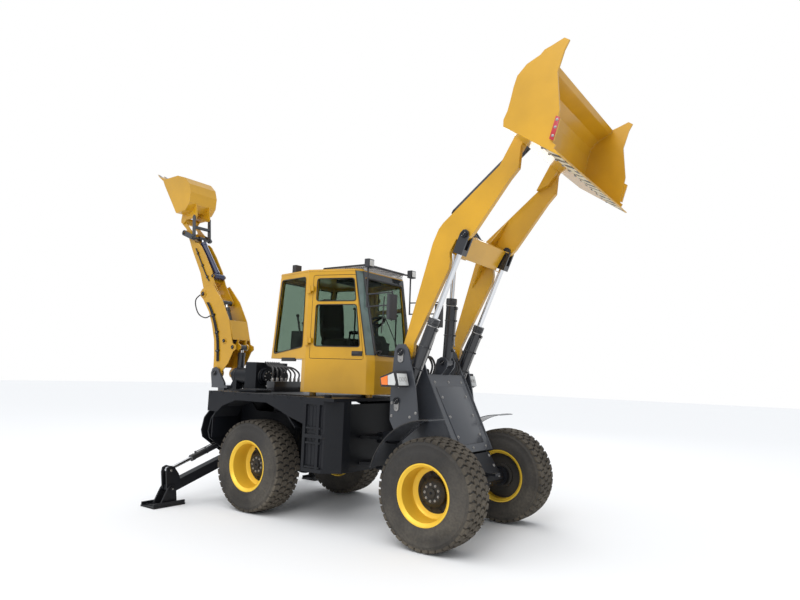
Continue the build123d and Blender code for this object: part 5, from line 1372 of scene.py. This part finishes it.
@dataclass(frozen=True)
class BoxDetails:
    """Steps, ribs and a filler cap on the side boxes, and the deck's fittings."""

    box_y: float = 1.076
    step_y: float = 1.088
    rib_xs: tuple[float, ...] = (1.03, 1.09, 1.15, 1.25)
    rib_rows: tuple[Flat, ...] = ((0.87, 0.33), (1.27, 0.30))
    step_zs: tuple[float, ...] = (0.700, 0.985, 1.160)
    slat_count: int = 9
    slat_start: float = 0.30
    slat_gap: float = 0.075
    deck_bolt_xs: tuple[float, ...] = (-0.80, -0.55, -0.30, -0.05, 0.20, 0.45, 0.70, 0.92)
    hatch_x: float = REAR_X - 0.30
    hatch_ys: tuple[float, ...] = (0.66, 0.75, 0.84)
    valve_x: float = REAR_X - 0.48
    valve_z: float = 1.60
    port_gap: float = 0.09
    valve_hose: tuple[Point, ...] = (
        (-0.48, 1.0, 1.715), (-0.48, 1.0, 1.80), (-0.56, 0.8, 1.875), (-0.70, 0.6, 1.90), (-0.80, 0.5, 1.955),
    )
    swing_y: float = 0.16
    swing_z: float = 1.738
    band_xs: tuple[float, ...] = (-0.78, -1.05, -1.34)

    def build(self) -> None:
        """Build the fittings of the boxes and of the deck."""
        self.dress_boxes()
        deck = Mould("deck_fittings", "rear_frame", "black")
        self.dress_deck(deck)
        self.dress_valve(deck)
        self.dress_swing(deck)
        deck.done()

    def dress_boxes(self) -> None:
        """Build the ribs, steps, slats and caps of both side boxes."""
        steps = Mould("side_box_fittings", "rear_frame", "black")
        for side in SIDES:
            for x in self.rib_xs:
                for z, height in self.rib_rows:
                    spot = (REAR_X + x, side * self.box_y, z)
                    steps.box(spot, (0.026, 0.014, height), FRAME_BLACK, bevel=0.004)
            for z in self.step_zs:
                spot = (REAR_X + 1.130, side * self.step_y, z)
                steps.box(spot, (0.24, 0.022, 0.024), FRAME_BLACK, bevel=0.004)
            foot, top = ((REAR_X + 1.20, side * 0.93, z) for z in (1.524, 1.560))
            steps.rod(foot, top, 0.045, FRAME_BLACK, 24, 0.005)
            for index in range(self.slat_count):
                spot = (REAR_X + self.slat_start + index * self.slat_gap, side * 0.93, 1.528)
                steps.box(spot, (0.018, 0.24, 0.006), FRAME_BLACK, bevel=0.002)
        steps.done()

    def dress_deck(self, deck: Mould) -> None:
        """Build the bolts along the deck's edge and the ribbed hatches."""
        for side in SIDES:
            for x in self.deck_bolt_xs:
                deck.hexagon((REAR_X + x, side * 1.094, 1.503), (0, side, 0), 0.020, 0.006)
            deck.box((self.hatch_x, side * 0.75, 1.545), (0.34, 0.30, 0.040), FRAME_BLACK, bevel=0.010)
            for y in self.hatch_ys:
                deck.box((self.hatch_x, side * y, 1.568), (0.30, 0.030, 0.010), FRAME_BLACK, bevel=0.003)

    def dress_valve(self, deck: Mould) -> None:
        """Build the valve block with its ports and hoses."""
        deck.box((self.valve_x, 0.0, self.valve_z), (0.16, 0.62, 0.15), CYLINDER_BLACK, bevel=0.008)
        for index in range(-3, 4):
            y = index * self.port_gap
            deck.rod((self.valve_x, y, 1.670), (self.valve_x, y, 1.725), 0.020, STEEL, 16)
            near, far = ((self.valve_x - back, y, self.valve_z) for back in (0.08, 0.12))
            deck.rod(near, far, 0.018, STEEL, 6, 0.001)
            deck.tube([(REAR_X + x, y * share, z) for x, share, z in self.valve_hose], 0.013, SEAL)

    def dress_swing(self, deck: Mould) -> None:
        """Build the ports, bands and end bolts of the two swing cylinders."""
        for side in SIDES:
            y = side * self.swing_y
            for z in (1.66, 1.80):
                deck.rod((REAR_X - 0.728, y, z), (REAR_X - 0.716, y, z), 0.030, STEEL, 6, 0.002)
            for x in self.band_xs:
                band = (REAR_X + x, y, self.swing_z)
                deck.hoop(band, (1, 0, 0), 0.1215, 0.006, CYLINDER_BLACK, 40)
            deck.bolt_ring((REAR_X - 0.690, y, self.swing_z), (1, 0, 0), 0.070, 8, 0.018, 0.008)


@dataclass(frozen=True)
class TowerDetails:
    """Hoses, stiffeners and bolts of the loader tower and its fenders."""

    cheek_bolts: tuple[Flat, ...] = (
        (-0.72, 1.35), (-0.72, 1.50), (-0.46, 1.35), (-0.60, 1.20), (-0.38, 1.40),
    )
    edge_y: float = 0.4395
    edge_ends: tuple[Flat, ...] = ((-0.398, 1.855), (0.030, 0.952))
    fender_y: float = 1.046
    fender_radius: float = 0.768
    stay: tuple[Point, ...] = ((-0.60, 0.700, 1.06), (-0.60, 0.82, 1.052), (-0.585, 0.98, 1.075))
    hose_ys: tuple[float, ...] = (0.26, 0.32)
    hose: tuple[Point, ...] = (
        (-0.44, 0.0, 1.835), (-0.40, 0.01, 1.95), (-0.47, 0.0, 2.06), (-0.58, 0.0, 2.03),
        (-0.66, 0.0, 1.86), (-0.70, 0.0, 1.75),
    )
    hose_ends: tuple[Flat, ...] = ((-0.44, 1.835), (-0.70, 1.745))
    nose: tuple[Flat, ...] = ((0.059, 0.926), (0.238, 0.632))
    nose_bolt_ys: tuple[float, ...] = (-0.26, 0.26)
    nose_bolt_shares: tuple[float, ...] = (0.12, 0.5, 0.88)
    plate: tuple[Flat, ...] = ((-0.407, 1.850), (0.028, 0.950))
    panel: tuple[float, float] = (0.16, 0.90)
    panel_halves: tuple[float, float] = (0.345, 0.300)
    plate_bolts: tuple[tuple[float, tuple[float, ...]], ...] = (
        (0.10, (-0.32, 0.0, 0.32)), (0.30, (-0.29, 0.29)), (0.55, (-0.28, 0.28)), (0.80, (-0.27, 0.27)),
        (0.95, (-0.32, 0.0, 0.32)),
    )
    keeper_drop: float = 0.085

    def build(self) -> None:
        """Build the tower's small parts."""
        mould = Mould("tower_fittings", "front_frame", "black")
        for side in SIDES:
            self.dress_side(mould, side)
            self.lift_hose(side)
        top, foot = (Vector((FRONT_X + x, 0, z)) for x, z in self.nose)
        slope = (foot - top).normalized()
        for y in self.nose_bolt_ys:
            for share in self.nose_bolt_shares:
                at = top.lerp(foot, share) + Vector((0, y, 0))
                mould.hexagon(at, (-slope.z, 0, slope.x), 0.028, 0.012)
        self.dress_front_plate(mould)
        self.dress_keepers(mould)
        mould.bolt_ring((FRONT_X + 0.172, 0, AXLE_Z), (1, 0, 0), COVER_RING, COVER_BOLTS, 0.022, 0.012)
        mould.hoop((FRONT_X + 0.150, 0, AXLE_Z), (1, 0, 0), COVER_RADIUS, 0.010, FRAME_BLACK, 40)
        mould.done()
        self.dress_axle()

    def dress_side(self, mould: Mould, side: int) -> None:
        """Build the bolts, edges, fender lip, stay and hoses of one side.

        Args:
            mould: The piece that takes the parts.
            side: Minus one for the right and one for the left.
        """
        for x, z in self.cheek_bolts:
            mould.hexagon((FRONT_X + x, side * CHEEK_OUT, z), (0, side, 0), 0.024, 0.010)
        edge = [Vector((FRONT_X + x, side * self.edge_y, z)) for x, z in self.edge_ends]
        mould.sweep(edge, 0.010, SLATE, 8)
        middle = Vector((FRONT_X, side * self.fender_y, AXLE_Z))
        rays = [
            Vector((-math.cos(math.radians(degrees)), 0, math.sin(math.radians(degrees))))
            for degrees in range(16, 92, 5)
        ]
        lip = [middle + self.fender_radius * ray for ray in rays]
        mould.sweep(lip, 0.007, SEAL, 8)
        mould.tube([(FRONT_X + x, side * y, z) for x, y, z in self.stay], 0.012, FRAME_BLACK, 4)
        for y in self.hose_ys:
            mould.tube([(FRONT_X + x, side * (y + wide), z) for x, wide, z in self.hose], 0.013, SEAL)
            for x, z in self.hose_ends:
                low, high = ((FRONT_X + x, side * y, z + lift) for lift in (-0.035, 0.02))
                mould.rod(low, high, 0.018, STEEL, 6, 0.001)

    def lift_hose(self, side: int) -> None:
        """Build the hose that bends between the tower and a lift cylinder.

        Args:
            side: Minus one for the right and one for the left.
        """
        f = FRONT_X
        base = Vector((LIFT_BASE[0], side * ARM_Y, LIFT_BASE[1]))
        way = (Vector((LIFT_EYE[0], side * ARM_Y, LIFT_EYE[1])) - base).normalized()
        port = base + way * 0.94
        inner = Vector((0, -side, 0))
        knots = (
            port + inner * 0.065, port + inner * 0.105, port + inner * 0.135 - way * 0.10,
            port + inner * 0.150 - way * 0.38, port + inner * 0.140 - way * 0.58,
            (f - 0.430, side * 0.385, 1.905), (f - 0.425, side * 0.380, 1.838),
        )
        path = smooth_path(knots, 6)
        name = "lift_hose_right" if side < 0 else "lift_hose_left"
        hose = Mould(name, "front_frame", "black")
        hose.sweep(path, 0.012, SEAL, 10)
        piece = hose.mesh_object()
        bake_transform(piece)

    def dress_front_plate(self, mould: Mould) -> None:
        """Build the raised panel and the bolt rows of the slanted front plate."""
        top, foot = (Vector((FRONT_X + x, 0, z)) for x, z in self.plate)
        way = (foot - top).normalized()
        out = Vector((-way.z, 0, way.x))
        low, high = self.panel
        half_top, half_foot = self.panel_halves
        corners = ((low, -half_top), (low, half_top), (high, half_foot), (high, -half_foot))
        outline = [top + way * along + Vector((0, y, 0)) for along, y in corners]
        mould.profile(outline, out * 0.007, SLATE, 0.003)
        for along, spots in self.plate_bolts:
            lift = 0.0065 if low < along < high else 0.0
            for y in spots:
                mould.hexagon(top + way * along + out * lift + Vector((0, y, 0)), out, 0.026, 0.010)

    def dress_keepers(self, mould: Mould) -> None:
        """Build the long oval keeper plates below the pin heads of the outer cheeks."""
        for side in SIDES:
            for x, z, radius in ((*ARM_PIVOT, 0.040), (*LIFT_BASE, 0.035)):
                outline = [
                    (x + radius * math.cos(angle), side * CHEEK_OUT,
                     z - (0 if math.sin(angle) >= 0 else self.keeper_drop) + radius * math.sin(angle))
                    for angle in turns(24)
                ]
                mould.profile(outline, (0, side * 0.010, 0), STEEL, 0.002)
                mould.hexagon((x, side * 0.710, z - self.keeper_drop), (0, side, 0), 0.022, 0.009)

    def dress_axle(self) -> None:
        """Build the cover bolts and the clamp bolts of the rear axle."""
        rear = Mould("axle_fittings", "rear_frame", "black")
        r = REAR_X
        rear.hoop((r - 0.150, 0, AXLE_Z), (1, 0, 0), COVER_RADIUS, 0.010, FRAME_BLACK, 40)
        rear.bolt_ring((r - 0.172, 0, AXLE_Z), (-1, 0, 0), COVER_RING, COVER_BOLTS, 0.022, 0.012)
        for side in SIDES:
            for x in (-0.085, 0.085):
                for y in (0.275, 0.385):
                    rear.rod((r + x, side * y, 0.480), (r + x, side * y, 0.680), 0.011, STEEL, 10)
                    rear.hexagon((r + x, side * y, 0.482), (0, 0, -1), 0.028, 0.014)
            rear.box((r, side * 0.330, 0.487), (0.24, 0.15, 0.020), FRAME_BLACK)
        rear.done()


@dataclass(frozen=True)
class LoaderDetails:
    """Weld beads, gussets, cylinder pipes, stripes and wear blocks of the loader."""

    edge_half: float = 1.176
    edge_span: Flat = (0.640, 0.868)
    bolt_count: int = 12
    bolt_start: float = -1.078
    bolt_gap: float = 0.196
    bucket_back: tuple[Flat, ...] = (
        (0.640, -0.105), (0.152, -0.107), (0.124, -0.055), (0.111, 0.034), (0.074, 0.144), (0.026, 0.268),
        (-0.005, 0.380), (0.022, 0.514), (0.105, 0.645), (0.116, 0.700),
    )
    seams: tuple[Flat, ...] = ((0.0, 0.30), (0.008, 0.47))
    wear_block: tuple[Flat, ...] = ((0.700, -0.030), (0.750, -0.030), (0.680, 0.190), (0.630, 0.190))
    wear_bolts: tuple[Flat, ...] = ((0.716, 0.010), (0.690, 0.090), (0.664, 0.160))
    port_low: float = 0.16
    port_back: float = 0.12
    gland_rings: tuple[float, ...] = (0.020, 0.036, 0.052, 0.068)
    clamp_shares: tuple[float, ...] = (0.35, 0.7)

    def arm(self, along: float, left: float, y: float) -> Point:
        """Return a point of an arm from its distance along, to the left and across."""
        x, z = on_line(ARM_PIVOT, ARM_ANGLE, along, left)
        return x, y, z

    def scoop(self, along: float, up: float, y: float) -> Point:
        """Return a point of the bucket from its own side view."""
        x, z = on_line(ARM_TIP, BUCKET_ANGLE, along, up)
        return x, y, z

    def build(self) -> None:
        """Build the arm, cylinder and bucket details."""
        self.dress_arms()
        self.dress_cylinders()
        self.dress_bucket()

    def dress_arms(self) -> None:
        """Build the weld beads and the gussets of the arms' cross beam."""
        mould = Mould("arm_welds", "arms", "yellow")
        for side in SIDES:
            for along in (BEAM_LOW, BEAM_HIGH):
                bead = [Vector(self.arm(along, -0.020, side * y)) for y in (0.398, 0.530)]
                mould.sweep(bead, 0.006, YELLOW, 6)
            inner = side * 0.5295
            rim = ((BEAM_LOW, 0.190), (BEAM_LOW, 0.285), (BEAM_HIGH, 0.285), (BEAM_HIGH, 0.190))
            ring = [Vector(self.arm(along, left, inner)) for along, left in rim]
            for start, end in zip(ring, ring[1:]):
                mould.sweep([start, end], 0.007, YELLOW, 6)
            for near, far, width in ((BEAM_LOW, 0.930, 0.140), (BEAM_HIGH, 1.930, 0.150)):
                fin = [self.arm(near, 0.225, side * 0.529), self.arm(near, 0.225, side * (0.529 - width)),
                       self.arm(far, 0.225, side * 0.529)]
                lift = Vector(self.arm(0, 0.014, 0)) - Vector(self.arm(0, 0, 0))
                mould.profile(fin, lift, YELLOW, 0.002)
        mould.done()

    def dress_cylinders(self) -> None:
        """Build the pipes and gland rings of the lift and tilt cylinders."""
        lift = Mould("lift_cylinder_pipes", "lift_barrel_pair", "black")
        self.line_cylinder(lift, LIFT_BASE, LIFT_EYE, 1.060, 0.065, (-ARM_Y, ARM_Y))
        lift.done()
        tilt = Mould("tilt_cylinder_pipes", "tilt_cylinder", "black")
        self.line_cylinder(tilt, TILT_BASE, LEVER_TOP, 0.810, 0.062, (0.0,))
        tilt.done()

    def line_cylinder(
        self, mould: Mould, base: Flat, end: Flat, length: float, radius: float, lanes: Sequence[float],
    ) -> None:
        """Build a port pipe, its blocks, clamps and gland nuts on a cylinder.

        Args:
            mould: The piece that takes the parts.
            base: The base eye of the cylinder.
            end: The rod eye, which gives its direction.
            length: The distance from the base eye to the mouth.
            radius: The outer radius of the barrel.
            lanes: The y of each like cylinder.
        """
        way = (Vector((end[0], 0, end[1])) - Vector((base[0], 0, base[1]))).normalized()
        out = Vector((way.z, 0, -way.x))
        for y in lanes:
            at = Vector((base[0], y, base[1]))
            low = at + way * self.port_low
            high = at + way * (length - self.port_back)
            lift = out * (radius + 0.018)
            for port in (low, high):
                foot, top = port + out * (radius - 0.012), port + out * (radius + 0.030)
                mould.rod(foot, top, 0.019, CYLINDER_BLACK, 16)
                foot, top = port + out * (radius + 0.005), port + out * (radius + 0.034)
                mould.rod(foot, top, 0.015, STEEL, 6, 0.001)
            path = [high + out * (radius + 0.030), high - way * 0.05 + lift, low + way * 0.12 + lift,
                    low + way * 0.05 + lift + Vector((0, 0.02, 0))]
            mould.tube(path, 0.009, STEEL, 4)
            for share in self.clamp_shares:
                place = low.lerp(high, share)
                mould.hoop(place, way, radius + 0.002, 0.007, CYLINDER_BLACK, 36)
                mould.rod(place + out * radius, place + out * (radius + 0.034), 0.012, CYLINDER_BLACK, 12)
            for back in self.gland_rings:
                mould.hoop(at + way * (length - back), way, radius + 0.001, 0.007, CYLINDER_BLACK, 36)
            mould.hoop(at + way * (length - 0.095), way, radius + 0.001, 0.006, STEEL, 36)

    def dress_bucket(self) -> None:
        """Build the cutting edge's stripes, bolts, weld beads and red blocks."""
        edge = Mould("bucket_edge", "bucket", "yellow")
        near, far = self.edge_span
        strip = [self.scoop(along, -0.1232, -self.edge_half) for along in (near, far)]
        strip += [self.scoop(along, -0.1248, -self.edge_half) for along in (far, near)]
        edge.profile(strip, (0, 2 * self.edge_half, 0), HAZARD, 0.0)
        down = Vector(self.scoop(0, -1, 0)) - Vector(self.scoop(0, 0, 0))
        for index in range(self.bolt_count):
            y = self.bolt_start + index * self.bolt_gap
            edge.rod(self.scoop(0.700, -0.088, y), self.scoop(0.700, -0.082, y), 0.019, STEEL, 14, 0.002)
            edge.hexagon(self.scoop(0.615, -0.123, y), down, 0.026, 0.010)
        edge.done()
        bead = Mould("bucket_welds", "bucket", "yellow")
        for side in SIDES:
            line = [Vector(self.scoop(along, up, side * 1.156)) for along, up in self.bucket_back]
            bead.sweep(line, 0.007, YELLOW, 6)
        for along, up in self.seams:
            bead.sweep([Vector(self.scoop(along, up, y)) for y in (-1.15, 1.15)], 0.004, YELLOW, 6)
        bead.done()
        blocks = Mould("bucket_wear_blocks", "bucket", "yellow")
        for side in SIDES:
            outline = [self.scoop(along, up, side * 1.2055) for along, up in self.wear_block]
            blocks.profile(outline, (0, side * 0.006, 0), RED, 0.002)
            for along, up in self.wear_bolts:
                blocks.hexagon(self.scoop(along, up, side * 1.211), (0, side, 0), 0.020, 0.008)
        blocks.done()


@dataclass(frozen=True)
class HoeDetails:
    """Hoses, clamps, beads and tooth caps of the backhoe."""

    boom_line: tuple[Flat, ...] = ((-1.86, 1.95), (-1.90, 2.30), (-1.99, 2.56), (-2.12, 2.80), (-2.22, 2.92))
    boom_clamps: tuple[Point, ...] = ((-1.865, 2.12, 0.1), (-1.915, 2.42, 0.3), (-2.035, 2.70, 0.5))
    boom_hose_y: float = 0.203
    hose_gap: float = 0.034
    dipper_line: tuple[Flat, ...] = ((-2.30, 3.30), (-2.42, 3.45), (-2.60, 3.72), (-2.72, 3.90))
    dipper_clamps: tuple[Flat, ...] = ((-2.36, 3.375), (-2.51, 3.585), (-2.66, 3.81))
    dipper_lean: float = 0.55
    dipper_hose_y: float = 0.132
    loop: tuple[Point, ...] = (
        (-2.10, 2.700, 0.203), (-2.18, 2.66, 0.245), (-2.33, 2.72, 0.262), (-2.43, 2.86, 0.262),
        (-2.46, 2.98, 0.245), (-2.41, 3.06, 0.203),
    )
    tooth: tuple[Flat, ...] = (
        (-0.560, 0.822), (-0.602, 0.873), (-0.688, 0.928), (-0.686, 0.922), (-0.600, 0.852),
    )
    tooth_gap: float = 0.124
    tooth_width: float = 0.047
    bucket_back: tuple[Flat, ...] = (
        (-0.070, 0.797), (0.145, 0.728), (0.279, 0.604), (0.332, 0.449), (0.318, 0.264), (0.224, 0.151),
        (0.0, 0.125),
    )
    bucket_half: float = 0.2665

    def at(self, x: float, z: float, y: float) -> Point:
        """Return a point from its x behind the rear axle, its height and its y."""
        return REAR_X + x, y, z

    def build(self) -> None:
        """Build the backhoe's small parts."""
        self.dress_boom()
        self.dress_dipper()
        self.hose_loops()
        self.dress_bucket()

    def dress_boom(self) -> None:
        """Build the hose pairs, clamps and boss rims on both sides of the boom."""
        boom = Mould("boom_hoses", "hoe_boom", "black")
        for side in SIDES:
            for shift in (0, self.hose_gap):
                line = [self.at(x + shift, z, side * self.boom_hose_y) for x, z in self.boom_line]
                boom.tube(line, 0.011, SEAL)
            for x, z, turn in self.boom_clamps:
                lean = Matrix.Rotation(-turn, 4, "Y")
                boom.box(self.at(x, z, side * 0.200), (0.085, 0.024, 0.030), FRAME_BLACK, lean)
                boom.hexagon(self.at(x, z, side * 0.211), (0, side, 0), 0.014, 0.006)
            for (x, z), ring, radius, steps in (
                (BOOM_TIP, 0.066, 0.006, 36), (DIPPER_BASE, 0.048, 0.005, 30),
            ):
                boom.hoop((x, side * 0.1905, z), (0, 1, 0), ring, radius, YELLOW, steps)
        boom.done()

    def dress_dipper(self) -> None:
        """Build the hose and clamps on both sides of the dipper."""
        stick = Mould("dipper_hoses", "hoe_dipper", "black")
        lean = Matrix.Rotation(-self.dipper_lean, 4, "Y")
        for side in SIDES:
            stick.tube([self.at(x, z, side * self.dipper_hose_y) for x, z in self.dipper_line], 0.010, SEAL)
            for x, z in self.dipper_clamps:
                stick.box(self.at(x, z, side * 0.129), (0.050, 0.020, 0.028), FRAME_BLACK, lean)
                stick.hexagon(self.at(x, z, side * 0.138), (0, side, 0), 0.012, 0.005)
        stick.done()

    def dress_bucket(self) -> None:
        """Build the tooth caps and the weld beads of the backhoe's bucket."""
        teeth = Mould("tooth_caps", "digger", "yellow")
        x0, z0 = DIGGER_PIVOT
        for index in range(-2, 3):
            y = index * self.tooth_gap - self.tooth_width / 2
            outline = [(x0 + x, y, z0 + z) for x, z in self.tooth]
            teeth.profile(outline, (0, self.tooth_width, 0), STEEL, 0.002)
        for side in SIDES:
            bead = [Vector((x0 + x, side * self.bucket_half, z0 + z)) for x, z in self.bucket_back]
            teeth.sweep(bead, 0.006, YELLOW, 6)
        teeth.done()

    def hose_loops(self) -> None:
        """Build the two free hoses that loop behind the joint of boom and dipper."""
        for side in SIDES:
            path = smooth_path([self.at(x, z, side * y) for x, z, y in self.loop], 8)
            hose = Mould("hose_loop_right" if side < 0 else "hose_loop_left", "hoe_boom", "black")
            hose.sweep(path, 0.010, SEAL, 10)
            piece = hose.done()


@dataclass(frozen=True)
class StabiliserDetails:
    """Pin heads, pipes and grips of the stabilisers."""

    leg_x: float = REAR_X - 1.110
    foot_pin: Flat = (1.460, 0.215)
    leg_base: Flat = (0.345, 0.850)
    leg_eye: Flat = (1.480, 0.455)
    grip_ys: tuple[float, ...] = (1.335, 1.425, 1.605, 1.695)
    port_ends: tuple[float, float] = (0.14, 0.74)
    carrier_pins: tuple[Point, ...] = ((0.300, 0.600, 0.030), (0.345, 0.850, 0.025))

    def build(self) -> None:
        """Build the small parts of both stabilisers and the pin heads on their carrier."""
        for side, name in NAMED_SIDES:
            self.dress_leg(side, name)
            self.dress_cylinder(side, name)
        carrier = Mould("carrier_pin_heads", "rear_frame", "black")
        for side in SIDES:
            for y, z, radius in self.carrier_pins:
                back = Vector((self.leg_x - 0.086, side * y, z))
                carrier.rod(back, back - Vector((0.010, 0, 0)), radius + 0.014, FRAME_BLACK, 24)
                carrier.hexagon(back - Vector((0.008, 0, 0)), (-1, 0, 0), 0.024, 0.008)
        carrier.done()

    def spot(self, place: Flat, side: int, shift: float = 0.0) -> Vector:
        """Return a point of the leg's plane, moved along X."""
        return Vector((self.leg_x + shift, side * place[0], place[1]))

    def dress_leg(self, side: int, name: str) -> None:
        """Build the pin heads of one leg and the grips of its pad.

        Args:
            side: Minus one for the right and one for the left.
            name: The side in words.
        """
        leg = Mould(f"leg_fittings_{name}", f"stabiliser_{name}", "black")
        for step in (-1, 1):
            at = self.spot(self.foot_pin, side, step * 0.102)
            leg.rod(at, at + Vector((step * 0.008, 0, 0)), 0.030, FRAME_BLACK, 20)
            leg.hexagon(at + Vector((step * 0.006, 0, 0)), (step, 0, 0), 0.022, 0.006)
            leg.hexagon(self.spot(self.leg_eye, side, step * 0.072), (step, 0, 0), 0.026, 0.009)
        leg.done()
        pad = Mould(f"pad_grips_{name}", f"foot_{name}", "black")
        for y in self.grip_ys:
            pad.box((self.leg_x, side * y, 0.026), (0.26, 0.020, 0.012), FRAME_BLACK, bevel=0.003)
        pad.done()

    def dress_cylinder(self, side: int, name: str) -> None:
        """Build the ports, pipe and bands of one leg's cylinder.

        Args:
            side: Minus one for the right and one for the left.
            name: The side in words.
        """
        barrel = Mould(f"leg_cylinder_pipes_{name}", f"stabiliser_cylinder_{name}", "black")
        base = self.spot(self.leg_base, side)
        way = (self.spot(self.leg_eye, side) - base).normalized()
        out = Vector((0, side * 0.329, 0.944))
        low, high = (base + way * along for along in self.port_ends)
        for port in (low, high):
            barrel.rod(port, port + out * 0.066, 0.015, CYLINDER_BLACK, 14)
        bends = (high - way * 0.05, low + way * 0.05)
        line = [high + out * 0.060, *(bend + out * 0.056 for bend in bends), low + out * 0.060]
        barrel.tube(line, 0.007, STEEL, 4)
        for share in (0.3, 0.7):
            barrel.hoop(low.lerp(high, share), way, 0.044, 0.005, CYLINDER_BLACK, 30)
        barrel.done()


class Studio:
    """The camera, floor and lights of the photo."""

    def matrix(self) -> Matrix:
        """Return the camera's place and turn, solved from the photo."""
        yaw, pitch, roll = math.radians(125.11), math.radians(6.96), math.radians(1.96)
        ahead = Vector((math.cos(pitch) * math.cos(yaw), math.cos(pitch) * math.sin(yaw), math.sin(pitch)))
        level = Vector((math.sin(yaw), -math.cos(yaw), 0.0))
        above = level.cross(ahead)
        right = math.cos(roll) * level + math.sin(roll) * above
        up = -math.sin(roll) * level + math.cos(roll) * above
        turn = Matrix((right, up, -ahead)).transposed().to_4x4()
        return Matrix.Translation((6.0176, -6.666, 1.833)) @ turn

    def camera(self) -> None:
        """Place the camera that matches the photo."""
        data = bpy.data.cameras.new("photo_camera")
        data.sensor_width = 36.0
        data.lens = 27.5355
        camera = put_in_scene("photo_camera", data)
        camera.matrix_world = self.matrix()
        bpy.context.scene.camera = camera

    def floor(self) -> None:
        """Lay a pale floor that fades into the background."""
        part = bmesh.new()
        bmesh.ops.create_grid(part, x_segments=2, y_segments=2, size=60.0)
        mesh = bpy.data.meshes.new("studio_floor")
        part.to_mesh(mesh)
        part.free()
        material, _, shader = fresh_material("studio_floor")
        feed(shader, {"Base Color": (0.86, 0.86, 0.86, 1.0), "Roughness": 0.9, "Metallic": 0.0})
        mesh.materials.append(material)
        floor = put_in_scene("studio_floor", mesh)
        floor.location = (0, 0, -0.001)

    def lamp(self, name: str, place: Point, size: float, power: float) -> None:
        """Place a soft square lamp that faces the machine.

        Args:
            name: The lamp's name.
            place: Where it stands.
            size: Its side length.
            power: Its power in watts.
        """
        data = bpy.data.lights.new(name, "AREA")
        data.shape = "SQUARE"
        data.size = size
        data.energy = power
        lamp = put_in_scene(name, data)
        lamp.location = place
        lamp.rotation_mode = "QUATERNION"
        lamp.rotation_quaternion = (Vector((0, 0, 2.2)) - Vector(place)).to_track_quat("-Z", "Y")

    def sun(self) -> None:
        """Add an even, very soft light from above so that the floor stays pale far out."""
        data = bpy.data.lights.new("soft_top", "SUN")
        data.energy = 1.3
        data.angle = math.radians(70)
        lamp = put_in_scene("soft_top", data)
        lamp.rotation_euler = (math.radians(22), math.radians(-14), 0.0)

    def sky(self) -> None:
        """Make the world white to the camera and a soft grey to the light."""
        world = bpy.data.worlds.new("studio")
        world.use_nodes = True
        bpy.context.scene.world = world
        graph = Graph(world.node_tree)
        ground = world.node_tree.nodes["Background"]
        path = graph.add("LightPath")
        seen = graph.maths("MAXIMUM", path.outputs["Is Camera Ray"], path.outputs["Is Transmission Ray"])
        feed(ground, {"Color": (0.93, 0.96, 1.0, 1.0), "Strength": 0.75})
        white = graph.add("Background", {"Color": (1.0, 1.0, 1.0, 1.0), "Strength": 1.0})
        blend = graph.add("MixShader")
        graph.join(seen, blend.inputs[0])
        graph.join(ground.outputs[0], blend.inputs[1])
        graph.join(white.outputs[0], blend.inputs[2])
        graph.join(blend.outputs[0], world.node_tree.nodes["World Output"].inputs["Surface"])

    def build(self) -> None:
        """Set up the view, the floor and the lights."""
        scene = bpy.context.scene
        scene.view_settings.view_transform = "Standard"
        self.camera()
        self.floor()
        self.lamp("key_light", (5.0, -10.0, 9.5), 6.0, 420.0)
        self.lamp("back_light", (-4.0, 9.0, 9.0), 6.0, 260.0)
        self.sun()
        self.sky()


def main() -> None:
    """Build and dress every piece in order."""
    logging.basicConfig(level=logging.INFO)
    dress_nodes()
    dress_rod_eyes()
    for row in (
        ("front_right", FRONT_X, -1), ("front_left", FRONT_X, 1),
        ("rear_right", REAR_X, -1), ("rear_left", REAR_X, 1),
    ):
        WheelDetails(*row).build()
    for caps in pin_caps():
        caps.build()
    builders: tuple[Callable[[], None], ...] = (
        CabDetails().build, Interior().build, Lamps().build, BoxDetails().build, TowerDetails().build,
        LoaderDetails().build, HoeDetails().build, StabiliserDetails().build, Studio().build,
    )
    for build in builders:
        build()
        LOG.info("built %s", build.__qualname__)


if __name__ == "__main__":
    main()
